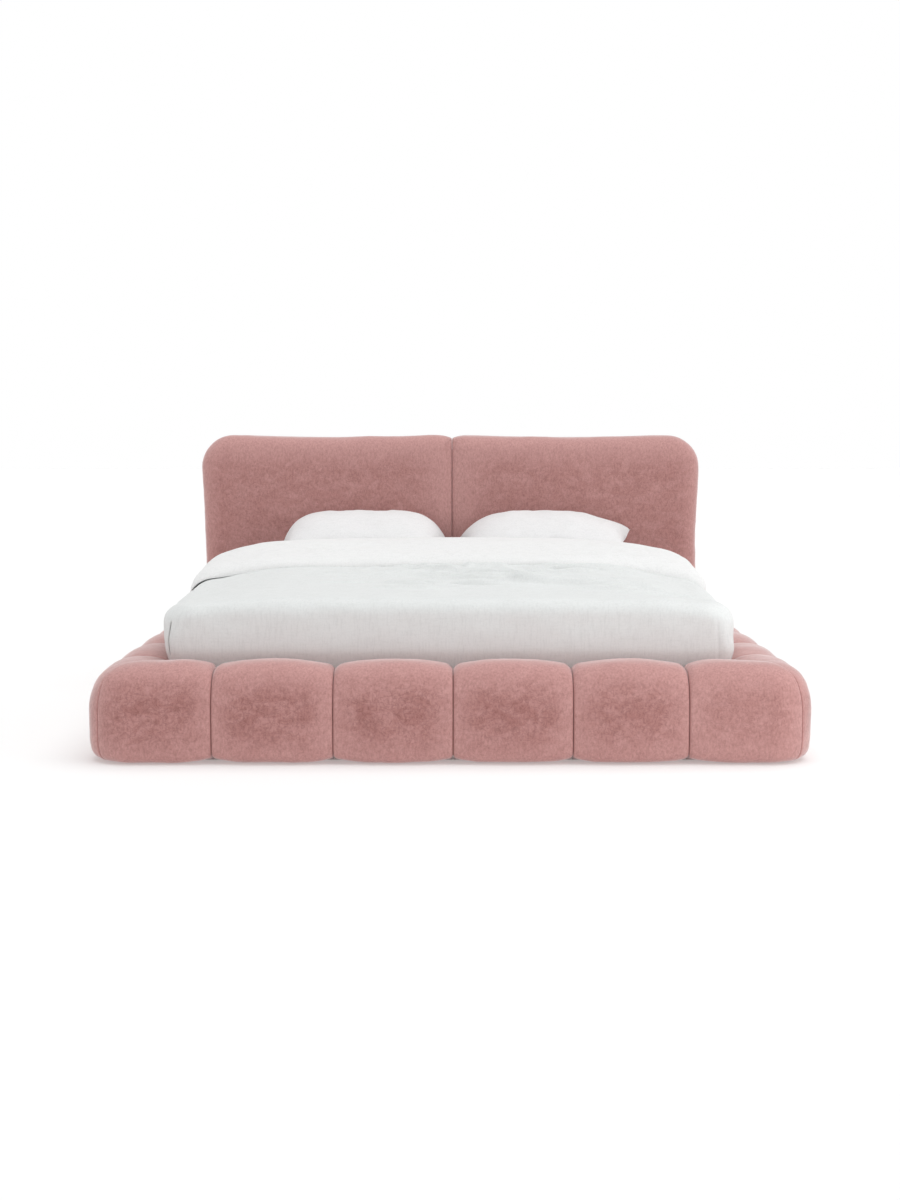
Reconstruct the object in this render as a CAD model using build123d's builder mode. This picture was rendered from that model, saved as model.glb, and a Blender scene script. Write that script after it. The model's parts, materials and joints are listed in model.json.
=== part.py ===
"""Upholstered bed for a 1800 x 2000 mattress: a low ring of quilted puffs, a two-cushion headboard,
a sprung slat base and the bedding that lies on it.

Millimetres. X runs across the bed, Y from the foot to the headboard, Z up. The origin is the middle of
the footprint, on the floor. "Left" is -X, seen from the foot.
"""

import os
from math import cos, radians, sin

from build123d import *

# ---------------------------------------------------------------- driving dimensions
MATTRESS_W = 1800.0
MATTRESS_L = 2000.0
MATTRESS_H = 250.0
MATTRESS_Z = 225.0  # underside of the mattress, on the crown of the slats
TUCK_GAP = 40.0  # room beside the mattress to tuck the bedding in
HEAD_GAP = 12.0  # mattress to head rail

RAIL_T = 235.0  # thickness of a padded rail, inner face to outer face
RAIL_TOP = 338.0
RAIL_BOTTOM = 6.0
CORNER_R = 150.0  # plan radius of the two foot corners
INNER_CORNER_R = 40.0
PUFF_TOP_R = 90.0  # outer top edge of the puffs
PUFF_INNER_R = 35.0
PUFF_BOTTOM_R = 40.0
SEAM_R = 20.0  # rounding of each puff towards its seams
SEAM_GAP = 1.0
CORNER_PUFF = 405.0  # length of a corner puff along each rail
SIDE_PUFFS = 5  # puffs on a side rail behind the corner puff

CARCASS_T = 123.0  # timber box inside a rail
CARCASS_Z = (16.0, 262.0)
BOARD = 22.0
THIN_BOARD = 15.0
FIT = 1.0  # clearance between foam and timber
FACE_GAP = 0.5  # clearance between flat faces that are bolted or laid together
PAST = 10.0  # cutting shapes run this far past what they cut

HEAD_RAIL_T = 120.0  # head rail of the ring, under the headboard cushions
HEADBOARD_TOP = 1062.0
HEADBOARD_HALF_W = 1100.0
HEADBOARD_SEAM_GAP = 2.0
HEADBOARD_CORNER_R = 125.0
HEADBOARD_SEAM_CORNER_R = 22.5  # top corner beside the middle seam
HEADBOARD_FRONT_R = 21.5
CUSHION_BOTTOM = 342.0
CUSHION_SKIRT_Z = 20.0
FRAME_HALF_W = 1038.0  # headboard timber frame, inside the cushions
FRAME_TOP = 998.0
POST_W = 70.0
POST_T = 46.0
POST_EDGE = 2.0
BACK_PANEL_T = 9.0
BACK_COVER_T = 3.0
POCKET_FIT = 2.0  # cushion foam to the timber frame

SLATS = 14
SLAT_W = 68.0
SLAT_T = 8.0
SLAT_SAG = 11.0  # rise of a sprung slat at mid span
SLAT_END_Z = 205.0
LEDGER = (35.0, 40.0)  # width, height
SUPPORT_Z = 200.0  # top of the ledgers and of the centre beam
BEAM = (60.0, 70.0)
PLATE_T = 4.0
GLIDE_R = 16.0
GLIDE_EDGE_R = 2.0
FOOT_GLIDES = 6
SIDE_GLIDES = 5  # on one side rail, the corner's own included
GLIDE_FROM_END = 60.0

DUVET_FLAP_T = 34.0
DUVET_HEM_Z = 262.0
DUVET_TOP = (506.0, 548.0)  # height of the top at the foot and at the turned-back strip
DUVET_EDGE_R = 40.0
DUVET_CORNER_R = 60.0
DUVET_FOLD = (1010.0, 1520.0)  # the turned-back strip, measured from the mattress's foot end
DUVET_FOLD_HALF_W = 1000.0
DUVET_FOLD_Z = (352.0, 636.0)
DUVET_FOLD_R = 140.0
BEDDING_GAP = 3.0  # duvet and pillows to what they lie on

PILLOW = (745.0, 480.0, 170.0)
PILLOW_TILT = 20.0
PILLOW_CORNER_R = 95.0
PILLOW_SEAM_HALF = 3.0  # half the straight edge left between a pillow's two rounded faces
PILLOW_X = (-366.0, 404.0)

# ---------------------------------------------------------------- derived places
half_w = MATTRESS_W / 2 + TUCK_GAP + RAIL_T
inner_x = half_w - RAIL_T
headboard_t = POST_T + BACK_PANEL_T + BACK_COVER_T + 4 * FACE_GAP
length = RAIL_T + TUCK_GAP + MATTRESS_L + HEAD_GAP + HEAD_RAIL_T + headboard_t
foot_y = -length / 2
foot_inner_y = foot_y + RAIL_T
mattress_y = foot_inner_y + TUCK_GAP
head_y = mattress_y + MATTRESS_L + HEAD_GAP  # front of the headboard cushions
ring_end_y = head_y + HEAD_RAIL_T
back_y = ring_end_y + headboard_t
carcass_x = inner_x + CARCASS_T
carcass_y = foot_inner_y - CARCASS_T
mattress_top = MATTRESS_Z + MATTRESS_H
side_puff = (ring_end_y - foot_y - CORNER_PUFF) / SIDE_PUFFS
foot_seams = [-half_w + CORNER_PUFF + i * (half_w - CORNER_PUFF) / 2 for i in range(5)]
side_seams = [foot_y + CORNER_PUFF + i * side_puff for i in range(SIDE_PUFFS + 1)]

os.makedirs("parts", exist_ok=True)


def save(piece, name):
    """Label a finished piece and write its STEP file."""
    piece.part.label = name
    export_step(piece.part, f"parts/{name}.step")


def block(x, y, z, mode=Mode.ADD):
    """A box between two limits on each axis, in the part being built."""
    with Locations(((x[0] + x[1]) / 2, (y[0] + y[1]) / 2, (z[0] + z[1]) / 2)):
        return Box(x[1] - x[0], y[1] - y[0], z[1] - z[0], mode=mode)


def rod(start, direction, radius, reach, mode=Mode.ADD):
    """A cylinder from a start point along a direction, in the part being built."""
    with BuildSketch(Plane(origin=start, z_dir=direction)) as disc:
        Circle(radius)
    return extrude(disc.sketch, amount=reach, mode=mode)


def spread(low, high, count):
    """Evenly spaced values, both ends included."""
    return [low + i * (high - low) / (count - 1) for i in range(count)]


# ---------------------------------------------------------------- padded ring
ON_PLANE = 0.01  # an edge nearer than this to a plane lies on it


def puff_ring():
    """The whole U of foam round the foot and the sides, before it is parted at the seams."""
    outer = [(-half_w, ring_end_y), (-half_w, foot_y), (half_w, foot_y), (half_w, ring_end_y)]
    inner = [(inner_x, ring_end_y), (inner_x, foot_inner_y), (-inner_x, foot_inner_y)]
    inner.append((-inner_x, ring_end_y))
    with BuildPart() as ring:
        with BuildSketch(Plane.XY.offset(RAIL_BOTTOM)):
            with BuildLine():
                FilletPolyline(*outer, radius=CORNER_R)
                Line(outer[-1], inner[0])
                FilletPolyline(*inner, radius=INNER_CORNER_R)
                Line(inner[-1], outer[0])
            make_face()
        extrude(amount=RAIL_TOP - RAIL_BOTTOM)

        def along_rail(group):
            return [e for e in group if abs(e.center().Y - ring_end_y) > FIT]

        def is_outer(e):
            middle = e @ 0.5
            return abs(middle.X) > inner_x + RAIL_T / 2 or middle.Y < foot_y + RAIL_T / 2

        top = along_rail(ring.edges().group_by(Axis.Z)[-1])
        fillet([e for e in top if is_outer(e)], PUFF_TOP_R)
        top = along_rail(ring.edges().group_by(Axis.Z)[-1])
        fillet([e for e in top if not is_outer(e)], PUFF_INNER_R)
        bottom = along_rail(ring.edges().group_by(Axis.Z)[0])
        fillet([e for e in bottom if is_outer(e)], PUFF_BOTTOM_R)
    return ring.part


def puff(ring, sector, seam_faces, name):
    """One puff: the ring inside a plan sector, rounded towards its seams, hollowed for the timber."""
    with BuildPart() as piece:
        add(ring)
        with BuildSketch():
            Polygon(*sector, align=None)
        extrude(amount=RAIL_TOP + RAIL_BOTTOM, mode=Mode.INTERSECT)
        for origin, normal in seam_faces:
            seam = Plane(origin=origin, z_dir=normal)
            on_seam = [
                e
                for e in piece.edges()
                if all(abs(seam.to_local_coords(e @ t).Z) < ON_PLANE for t in (0, 0.5, 1))
            ]
            inner_or_base = [
                e
                for e in on_seam
                if (e @ 0.5).Z < RAIL_BOTTOM + ON_PLANE
                or (abs((e @ 0.5).X) < inner_x + FIT and (e @ 0.5).Y > foot_inner_y - FIT)
            ]
            fillet([e for e in on_seam if e not in inner_or_base], SEAM_R)
        pocket_x = carcass_x + FIT
        pocket_y = (carcass_y - FIT, ring_end_y + PAST)
        block((-pocket_x, pocket_x), pocket_y, (0, CARCASS_Z[1] + FIT), mode=Mode.SUBTRACT)
    save(piece, name)


def foot_puffs(ring):
    """Six puffs across the foot. The outer two are mitred at the corners."""
    gap = SEAM_GAP / 2
    near, far = foot_y - PAST, foot_inner_y
    edges = [-half_w, *foot_seams, half_w]
    for i in range(len(edges) - 1):
        low, high = edges[i] + gap, edges[i + 1] - gap
        seams = []
        sector = [(low, near), (high, near), (high, far), (low, far)]
        if i == 0:
            sector[0] = (-half_w - PAST + SEAM_GAP, near)
            sector[3] = (-inner_x + SEAM_GAP, far)
        else:
            seams.append(((low, 0, 0), (1, 0, 0)))
        if i == len(edges) - 2:
            sector[1] = (half_w + PAST - SEAM_GAP, near)
            sector[2] = (inner_x - SEAM_GAP, far)
        else:
            seams.append(((high, 0, 0), (1, 0, 0)))
        puff(ring, sector, seams, f"foot_puff_{i + 1}")


def side_puffs(ring, side, label):
    """A mitred corner puff and the puffs behind it. side is -1 on the left and +1 on the right."""
    gap = SEAM_GAP / 2
    edges = [foot_y, *side_seams]
    for i in range(len(edges) - 1):
        low, high = edges[i] + gap, edges[i + 1] - gap
        if i == 0:
            sector = [(half_w + PAST, foot_y - PAST + SEAM_GAP), (half_w + PAST, high)]
            sector += [(inner_x, high), (inner_x, foot_inner_y + SEAM_GAP)]
            seams = [high]
        else:
            far = half_w + PAST
            sector = [(inner_x, low), (far, low), (far, high), (inner_x, high)]
            seams = [low, high]
        sector = [(side * x, y) for x, y in sector]
        faces = [((0, y, 0), (0, 1, 0)) for y in seams]
        puff(ring, sector, faces, f"{label}_puff_{i + 1}")


# ---------------------------------------------------------------- timber of the ring
BRACKET_LEG = 60.0
BRACKET_Z = (50.0, 140.0)
BRACKET_BOLT_Z = (70.0, 120.0)
BRACKET_BOLT_IN = 38.0  # bolt axis, from the corner
BOLT_R = 4.0
BOLT_HOLE_R = 4.2
HOLE_FIT = 0.1
BOLT_HEAD_R = 7.0
BOLT_HEAD_T = 5.0
BOLT_END = 6.0  # a bolt ends this far past its board, or short of its post's far face
BOLT_REACH = PLATE_T + BOARD + BOLT_END
BOLT_SOCKET_R = 2.8
DRILL_PAST = 1.0  # a hole starts and ends this far past its bolt
BOTTOM_RAIL_Z = (45.0, 320.0)
HEAD_BOLT_X = (POST_W / 2 + POST_W - FRAME_HALF_W, 0.0, FRAME_HALF_W - POST_W - POST_W / 2)
HEAD_BOLT_Z = (75.0, 290.0)
HEAD_BOLT_REACH = BOARD + FIT + POST_T - BOLT_END
HEAD_CAP_EDGE_R = 5.0


def corner_places():
    """The four inner corners of the ring: (x sign, corner y, direction of +1 towards the bed's middle)."""
    return [(sx, y, sy) for sx in (-1, 1) for y, sy in ((foot_inner_y, 1), (head_y, -1))]


def bracket_bolts():
    """Start point under the head and direction of each corner bolt, outwards through bracket and board."""
    bolts = []
    for sx, y, sy in corner_places():
        for z in BRACKET_BOLT_Z:
            start = (sx * (inner_x - PLATE_T), y + sy * BRACKET_BOLT_IN, z)
            bolts.append((start, (sx, 0, 0)))
            start = (sx * (inner_x - BRACKET_BOLT_IN), y + sy * PLATE_T, z)
            bolts.append((start, (0, -sy, 0)))
    return bolts


def drill(places, radius=BOLT_HOLE_R, reach=BOLT_REACH):
    """Holes in the part being built, a little longer than what they hold."""
    for start, direction in places:
        back = tuple(s - DRILL_PAST * d for s, d in zip(start, direction))
        rod(back, direction, radius, reach + 2 * DRILL_PAST, mode=Mode.SUBTRACT)


def screw_places(side):
    """Start point under the head and direction of each screw that holds a ledger to its rail."""
    between = [(a + b) / 2 for a, b in zip(slat_y[::2], slat_y[1::2])]
    x = side * (inner_x - LEDGER[0] + SCREW_SUNK)
    z = SUPPORT_Z - LEDGER[1] / 2 - SCREW_DROP
    return [((x, y, z), (side, 0, 0)) for y in between]


def side_boards(side, label):
    """Inner, outer and top board of a side rail."""
    y = (foot_inner_y + FIT, ring_end_y)
    through = [b for b in bracket_bolts() if b[1][0] == side]

    def across(low, high):
        return (low, high) if side > 0 else (-high, -low)

    with BuildPart() as inner:
        block(across(inner_x, inner_x + BOARD), y, CARCASS_Z)
        drill(through)
        drill(screw_places(side), SCREW_R + HOLE_FIT, SCREW_REACH)
    save(inner, f"{label}_inner_board")
    with BuildPart() as outer:
        block(across(carcass_x - THIN_BOARD, carcass_x), y, CARCASS_Z)
    save(outer, f"{label}_outer_board")
    with BuildPart() as top:
        top_z = (CARCASS_Z[1] - THIN_BOARD, CARCASS_Z[1])
        block(across(inner_x + BOARD, carcass_x - THIN_BOARD), y, top_z)
    save(top, f"{label}_top_board")


def foot_boards():
    """Inner, outer and top board of the foot rail, which runs the full width between the corners."""
    x = (-carcass_x, carcass_x)
    through = [b for b in bracket_bolts() if b[1][1] < 0]
    with BuildPart() as inner:
        block(x, (foot_inner_y - BOARD, foot_inner_y), CARCASS_Z)
        drill(through)
    save(inner, "foot_inner_board")
    with BuildPart() as outer:
        block(x, (carcass_y, carcass_y + THIN_BOARD), CARCASS_Z)
    save(outer, "foot_outer_board")
    with BuildPart() as top:
        top_z = (CARCASS_Z[1] - THIN_BOARD, CARCASS_Z[1])
        block(x, (carcass_y + THIN_BOARD, foot_inner_y - BOARD), top_z)
    save(top, "foot_top_board")


def rail_ribs():
    """Plywood ribs that keep the boards of each rail apart, one at every seam."""
    z = (CARCASS_Z[0], CARCASS_Z[1] - THIN_BOARD)
    half_t = THIN_BOARD / 2
    with BuildPart() as ribs:
        for x in [-carcass_x + THIN_BOARD, *foot_seams, carcass_x - THIN_BOARD]:
            y = (carcass_y + THIN_BOARD, foot_inner_y - BOARD)
            block((x - half_t, x + half_t), y, z)
        for side in (-1, 1):
            x = sorted((side * (inner_x + BOARD), side * (carcass_x - THIN_BOARD)))
            for y in side_seams[:-1] + [ring_end_y - THIN_BOARD]:
                block(x, (y - half_t, y + half_t), z)
    save(ribs, "rail_ribs")


def head_bolts():
    """Start point under the head and direction of each bolt from the head rail into the headboard."""
    start_y = head_y + HEAD_RAIL_T - BOARD - FIT
    return [((x, start_y, z), (0, 1, 0)) for x in HEAD_BOLT_X for z in HEAD_BOLT_Z]


def head_rail():
    """Front, back and top board of the head rail, between the side rails."""
    x = (-inner_x + FIT, inner_x - FIT)
    top_z = RAIL_TOP
    z = (CARCASS_Z[0], top_z - THIN_BOARD)
    through = [b for b in bracket_bolts() if b[1][1] > 0]
    with BuildPart() as front:
        block(x, (head_y, head_y + BOARD), z)
        drill(through)
    save(front, "head_rail_front_board")
    back = (ring_end_y - BOARD - FIT, ring_end_y - FIT)
    with BuildPart() as rear:
        block(x, back, z)
        drill(head_bolts(), reach=HEAD_BOLT_REACH)
    save(rear, "head_rail_back_board")
    with BuildPart() as cap:
        block(x, (head_y, ring_end_y - FIT), (top_z - THIN_BOARD, top_z))
        fillet(cap.edges().filter_by(Axis.X).group_by(Axis.Z)[-1], HEAD_CAP_EDGE_R)
    save(cap, "head_rail_cap")


def corner_brackets():
    """Four steel angle brackets, bolted inside the corners of the ring."""
    with BuildPart() as brackets:
        for sx, y, sy in corner_places():
            leg_x = sorted((sx * inner_x, sx * (inner_x - BRACKET_LEG)))
            leg_y = sorted((y, y + sy * BRACKET_LEG))
            block(sorted((sx * inner_x, sx * (inner_x - PLATE_T))), leg_y, BRACKET_Z)
            block(leg_x, sorted((y, y + sy * PLATE_T)), BRACKET_Z)
        drill(bracket_bolts())
    save(brackets, "corner_brackets")


def bolts(places, reach, name):
    """Button-head bolts with a hex socket."""
    with BuildPart() as group:
        for start, direction in places:
            rod(start, direction, BOLT_R, reach)
            outwards = tuple(-d for d in direction)
            rod(start, outwards, BOLT_HEAD_R, BOLT_HEAD_T)
            rim = tuple(s + BOLT_HEAD_T * d for s, d in zip(start, outwards))
            with BuildSketch(Plane(origin=rim, z_dir=direction)):
                RegularPolygon(BOLT_SOCKET_R, 6)
            extrude(amount=BOLT_HEAD_T / 2, mode=Mode.SUBTRACT)
    save(group, name)


def glides():
    """Nail-on plastic glides under the rails and the headboard posts."""
    foot_mid = (carcass_y + foot_inner_y) / 2
    side_mid = (inner_x + carcass_x) / 2
    places = [(x, foot_mid) for x in spread(-side_mid, side_mid, FOOT_GLIDES)]
    side_y = spread(foot_mid, ring_end_y - GLIDE_FROM_END, SIDE_GLIDES)[1:]
    places += [(side * side_mid, y) for side in (-1, 1) for y in side_y]
    foot_z = CARCASS_Z[0]
    with BuildPart() as pads:
        with BuildSketch():
            with Locations(*places):
                Circle(GLIDE_R)
        extrude(amount=foot_z)
        fillet(pads.edges().group_by(Axis.Z)[0], GLIDE_EDGE_R)
    save(pads, "rail_glides")


# ---------------------------------------------------------------- slat base
HANGER_W = BEAM[0] + 2 * FIT
HANGER_REACH = 50.0
HANGER_FLANGE = 25.0  # plate beside the saddle
HANGER_PLATE_UP = 50.0  # plate and cheeks above the saddle
HANGER_CHEEK_UP = 45.0
BEAM_EDGE = 4.0
beam_y = (foot_inner_y + PLATE_T, head_y - PLATE_T)
SLAT_FROM_END = 60.0
slat_y = spread(mattress_y + SLAT_FROM_END, mattress_y + MATTRESS_L - SLAT_FROM_END, SLATS)
LEG_Y = (-520.0, 90.0, 700.0)
LEG_R = 19.0
LEG_BOTTOM_Z = 30.0
LEG_PLATE_HALF = 38.0
LEG_THREAD_R = 6.5
LEG_THREAD_DEPTH = 40.0
LEG_FOOT_R = 25.0
LEG_FOOT_T = 10.0
LEG_FOOT_EDGE = 2.0
LEG_STUD = 45.0
CAP_SLOT = (SLAT_W + 2 * FIT, 20.0, 11.0)  # width, depth, height
CAP_SLOT_DROP = 1.5  # slot floor below the end of a slat
CAP_WALL = 13.0  # slat end to the cap's outer face on the side rail
CENTRE_CAP_WALL = 8.5
CAP_W = 82.0
CAP_T = 17.0
PEG_R = 4.0
PEG_REACH = 12.0
PEG_FIT = 0.2
SIDE_CAP_X = (inner_x - 34.0, inner_x - 2.0)
CENTRE_CAP_X = (1.0, 29.0)
slat_x = (CENTRE_CAP_X[0] + CENTRE_CAP_WALL, SIDE_CAP_X[1] - CAP_WALL)
SCREW_R = 2.4
SCREW_HEAD_R = 4.8
SCREW_HEAD_T = 3.0
SCREW_SINK_R = 5.5
SCREW_DROP = 4.0  # screws sit this far below the ledger's middle, clear of the peg holes
SCREW_SUNK = 6.0  # depth of the head's counterbore
SCREW_BITE = 16.0  # depth of a screw in its board
SCREW_REACH = LEDGER[0] - SCREW_SUNK + SCREW_BITE


def peg_holes(x):
    """Blind holes in the top of a support for the pegs of the slat caps."""
    places = [(px, y, SUPPORT_Z) for px in x for y in slat_y]
    with Locations(*places):
        Hole(PEG_R + PEG_FIT, depth=PEG_REACH + 2 * DRILL_PAST)


def ledger(side, label):
    """Batten on the inside of a side rail that carries the outer slat caps."""
    x = sorted((side * inner_x, side * (inner_x - LEDGER[0])))
    mid_x = side * sum(SIDE_CAP_X) / 2
    with BuildPart() as batten:
        block(x, (foot_inner_y + FIT, head_y - FIT), (SUPPORT_Z - LEDGER[1], SUPPORT_Z))
        peg_holes([mid_x])
        drill(screw_places(side), SCREW_R + HOLE_FIT, SCREW_REACH)
        for start, direction in screw_places(side):
            outwards = tuple(-d for d in direction)
            rod(start, outwards, SCREW_SINK_R, SCREW_SUNK, mode=Mode.SUBTRACT)
    save(batten, f"{label}_ledger")


def ledger_screws():
    """Pan-head screws through the ledgers into the inner boards of the side rails."""
    with BuildPart() as screws:
        for start, direction in screw_places(-1) + screw_places(1):
            rod(start, direction, SCREW_R, SCREW_REACH)
            rod(start, tuple(-d for d in direction), SCREW_HEAD_R, SCREW_HEAD_T)
    save(screws, "ledger_screws")


def centre_beam():
    """Timber beam down the middle of the bed, with a row of peg holes on each side."""
    mid = sum(CENTRE_CAP_X) / 2
    with BuildPart() as beam:
        block((-BEAM[0] / 2, BEAM[0] / 2), beam_y, (SUPPORT_Z - BEAM[1], SUPPORT_Z))
        chamfer(beam.edges().filter_by(Axis.Y).group_by(Axis.Z)[0], BEAM_EDGE)
        peg_holes([-mid, mid])
    save(beam, "centre_beam")


def beam_hangers():
    """Steel saddles on the foot and head rails that hold the ends of the centre beam."""
    low = SUPPORT_Z - BEAM[1]
    outer = HANGER_W / 2 + PLATE_T
    with BuildPart() as hangers:
        for y, sy in ((foot_inner_y, 1), (head_y, -1)):
            plate = sorted((y, y + sy * (PLATE_T - FACE_GAP)))
            reach = sorted((y, y + sy * HANGER_REACH))
            flange = outer + HANGER_FLANGE
            block((-flange, flange), plate, (low - PLATE_T, low + HANGER_PLATE_UP))
            block((-outer, outer), reach, (low - PLATE_T, low))
            for side in (-1, 1):
                x = sorted((side * HANGER_W / 2, side * outer))
                block(x, reach, (low - PLATE_T, low + HANGER_CHEEK_UP))
    save(hangers, "beam_hangers")


def centre_legs():
    """Steel legs under the centre beam, and the threaded feet that level them."""
    beam_low = SUPPORT_Z - BEAM[1]
    half = LEG_PLATE_HALF
    with BuildPart() as legs:
        for y in LEG_Y:
            block((-half, half), (y - half, y + half), (beam_low - PLATE_T, beam_low))
            tube_end = (0, y, LEG_BOTTOM_Z)
            rod(tube_end, (0, 0, 1), LEG_R, beam_low - PLATE_T - LEG_BOTTOM_Z)
            rod(tube_end, (0, 0, 1), LEG_THREAD_R, LEG_THREAD_DEPTH, mode=Mode.SUBTRACT)
    save(legs, "centre_legs")
    with BuildPart() as feet:
        for y in LEG_Y:
            rod((0, y, 0), (0, 0, 1), LEG_FOOT_R, LEG_FOOT_T)
            rod((0, y, LEG_FOOT_T), (0, 0, 1), LEG_THREAD_R - HOLE_FIT, LEG_STUD)
        chamfer(feet.edges().filter_by(GeomType.CIRCLE).group_by(Axis.Z)[1], LEG_FOOT_EDGE)
    save(feet, "centre_leg_feet")


def slats(side, label):
    """Sprung beech slats, arched, one row beside the centre beam."""
    start, end = slat_x
    mid = (start + end) / 2
    low, high = SLAT_END_Z, SLAT_END_Z + SLAT_T
    with BuildPart() as row:
        for y in slat_y:
            with BuildSketch(Plane.XZ.offset(-y)):
                with BuildLine():
                    ThreePointArc(
                        (side * start, low), (side * mid, low + SLAT_SAG), (side * end, low)
                    )
                    Line((side * end, low), (side * end, high))
                    ThreePointArc(
                        (side * end, high), (side * mid, high + SLAT_SAG), (side * start, high)
                    )
                    Line((side * start, high), (side * start, low))
                make_face()
            extrude(amount=SLAT_W / 2, both=True)
    save(row, f"slats_{label}")


def slat_caps(side, label):
    """Plastic end caps that hold both ends of each slat in a row."""
    slot_z = (SLAT_END_Z - CAP_SLOT_DROP, SLAT_END_Z - CAP_SLOT_DROP + CAP_SLOT[2])
    with BuildPart() as caps:
        for low, high, open_end in (
            (*SIDE_CAP_X, SIDE_CAP_X[0]),
            (*CENTRE_CAP_X, CENTRE_CAP_X[1]),
        ):
            x = sorted((side * low, side * high))
            inwards = 1 if open_end == low else -1
            slot_x = sorted((side * open_end, side * (open_end + inwards * CAP_SLOT[1])))
            for y in slat_y:
                block(x, (y - CAP_W / 2, y + CAP_W / 2), (SUPPORT_Z, SUPPORT_Z + CAP_T))
                slot_y = (y - CAP_SLOT[0] / 2, y + CAP_SLOT[0] / 2)
                block(slot_x, slot_y, slot_z, mode=Mode.SUBTRACT)
                rod((side * (low + high) / 2, y, SUPPORT_Z), (0, 0, -1), PEG_R, PEG_REACH)
    save(caps, f"slat_caps_{label}")


# ---------------------------------------------------------------- headboard
def headboard_frame():
    """Posts, rails and back panel inside the headboard."""
    y = (ring_end_y + FACE_GAP, ring_end_y + FACE_GAP + POST_T)
    post_x = (FRAME_HALF_W - POST_W, FRAME_HALF_W)
    for side, label in ((-1, "left"), (1, "right")):
        with BuildPart() as post:
            block(sorted((side * post_x[0], side * post_x[1])), y, (0, FRAME_TOP))
            chamfer(post.edges().group_by(Axis.Z)[0], POST_EDGE)
        save(post, f"headboard_post_{label}")
    rail_x = (-post_x[0], post_x[0])
    rails = {"headboard_top_rail": (FRAME_TOP - POST_W, FRAME_TOP)}
    rails["headboard_bottom_rail"] = BOTTOM_RAIL_Z
    for name, z in rails.items():
        with BuildPart() as rail:
            block(rail_x, y, z)
            if z == BOTTOM_RAIL_Z:
                drill(head_bolts(), reach=HEAD_BOLT_REACH)
        save(rail, name)
    with BuildPart() as centre:
        centre_z = (BOTTOM_RAIL_Z[1], FRAME_TOP - POST_W)
        block((-POST_W / 2, POST_W / 2), y, centre_z)
    save(centre, "headboard_centre_post")
    panel_y = (y[1], y[1] + BACK_PANEL_T)
    with BuildPart() as panel:
        block((-FRAME_HALF_W, FRAME_HALF_W), panel_y, (CUSHION_SKIRT_Z, FRAME_TOP))
    save(panel, "headboard_back_panel")
    with BuildPart() as cover:
        cover_y = (panel_y[1] + FACE_GAP, back_y)
        block((-FRAME_HALF_W, FRAME_HALF_W), cover_y, (CUSHION_SKIRT_Z, FRAME_TOP))
    save(cover, "headboard_back_cover")


def headboard_cushion(side, label):
    """One of the two headboard cushions: it stands over the head rail and wraps the timber frame."""
    seam = HEADBOARD_SEAM_GAP / 2
    x = sorted((side * seam, side * HEADBOARD_HALF_W))
    with BuildPart() as cushion:
        block(x, (head_y, back_y), (CUSHION_SKIRT_Z, HEADBOARD_TOP))
        upright = cushion.edges().filter_by(Axis.Y).group_by(Axis.Z)[-1]
        outer_first = upright.sort_by(lambda e: -abs(e.center().X))
        fillet(outer_first[0], HEADBOARD_CORNER_R)
        upright = cushion.edges().filter_by(Axis.Y).group_by(Axis.Z)[-1]
        fillet(upright.sort_by(lambda e: abs(e.center().X))[0], HEADBOARD_SEAM_CORNER_R)
        front = cushion.faces().sort_by(Axis.Y)[0].edges()
        fillet([e for e in front if (e @ 0.5).Z > CUSHION_SKIRT_Z + FIT], HEADBOARD_FRONT_R)
        pocket_x = FRAME_HALF_W + POCKET_FIT
        frame_y = (ring_end_y, back_y + PAST)
        block((-pocket_x, pocket_x), frame_y, (0, FRAME_TOP + POCKET_FIT), mode=Mode.SUBTRACT)
        far = HEADBOARD_HALF_W + PAST
        under_y = (head_y - PAST, ring_end_y + FIT)
        block((-far, far), under_y, (0, CUSHION_BOTTOM), mode=Mode.SUBTRACT)
    save(cushion, f"headboard_cushion_{label}")


# ---------------------------------------------------------------- bedding
SHEET_T = 1.5
SHEET_FIT = 0.5
sheet_out = SHEET_T + SHEET_FIT
MATTRESS_CORNER_R = 70.0
MATTRESS_EDGE_R = 22.0
SHEET_HEM_UP = 8.0  # the sheet's hem above the mattress's lower rounding


def rounded_slab(grow, z):
    """The mattress's rounded block, grown on all sides, in the part being built."""
    x = (-MATTRESS_W / 2 - grow, MATTRESS_W / 2 + grow)
    y = (mattress_y - grow, mattress_y + MATTRESS_L + grow)
    with BuildSketch(Plane.XY.offset(z[0])) as outline:
        with Locations(((x[0] + x[1]) / 2, (y[0] + y[1]) / 2)):
            RectangleRounded(x[1] - x[0], y[1] - y[0], MATTRESS_CORNER_R + grow)
    extrude(outline.sketch, amount=z[1] - z[0])


def mattress():
    """Sprung mattress, a rounded block."""
    with BuildPart() as core:
        rounded_slab(0, (MATTRESS_Z, mattress_top))
        fillet(core.edges().group_by(Axis.Z)[-1], MATTRESS_EDGE_R)
        fillet(core.edges().group_by(Axis.Z)[0], MATTRESS_EDGE_R)
    save(core, "mattress")


def fitted_sheet():
    """Fitted sheet stretched over the top and sides of the mattress."""
    hem_z = MATTRESS_Z + MATTRESS_EDGE_R + SHEET_HEM_UP
    with BuildPart() as hollow:
        rounded_slab(SHEET_FIT, (hem_z - PAST, mattress_top + SHEET_FIT))
        fillet(hollow.edges().group_by(Axis.Z)[-1], MATTRESS_EDGE_R + SHEET_FIT)
    with BuildPart() as sheet:
        rounded_slab(sheet_out, (hem_z, mattress_top + sheet_out))
        fillet(sheet.edges().group_by(Axis.Z)[-1], MATTRESS_EDGE_R + sheet_out)
        add(hollow.part, mode=Mode.SUBTRACT)
    save(sheet, "fitted_sheet")


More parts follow.
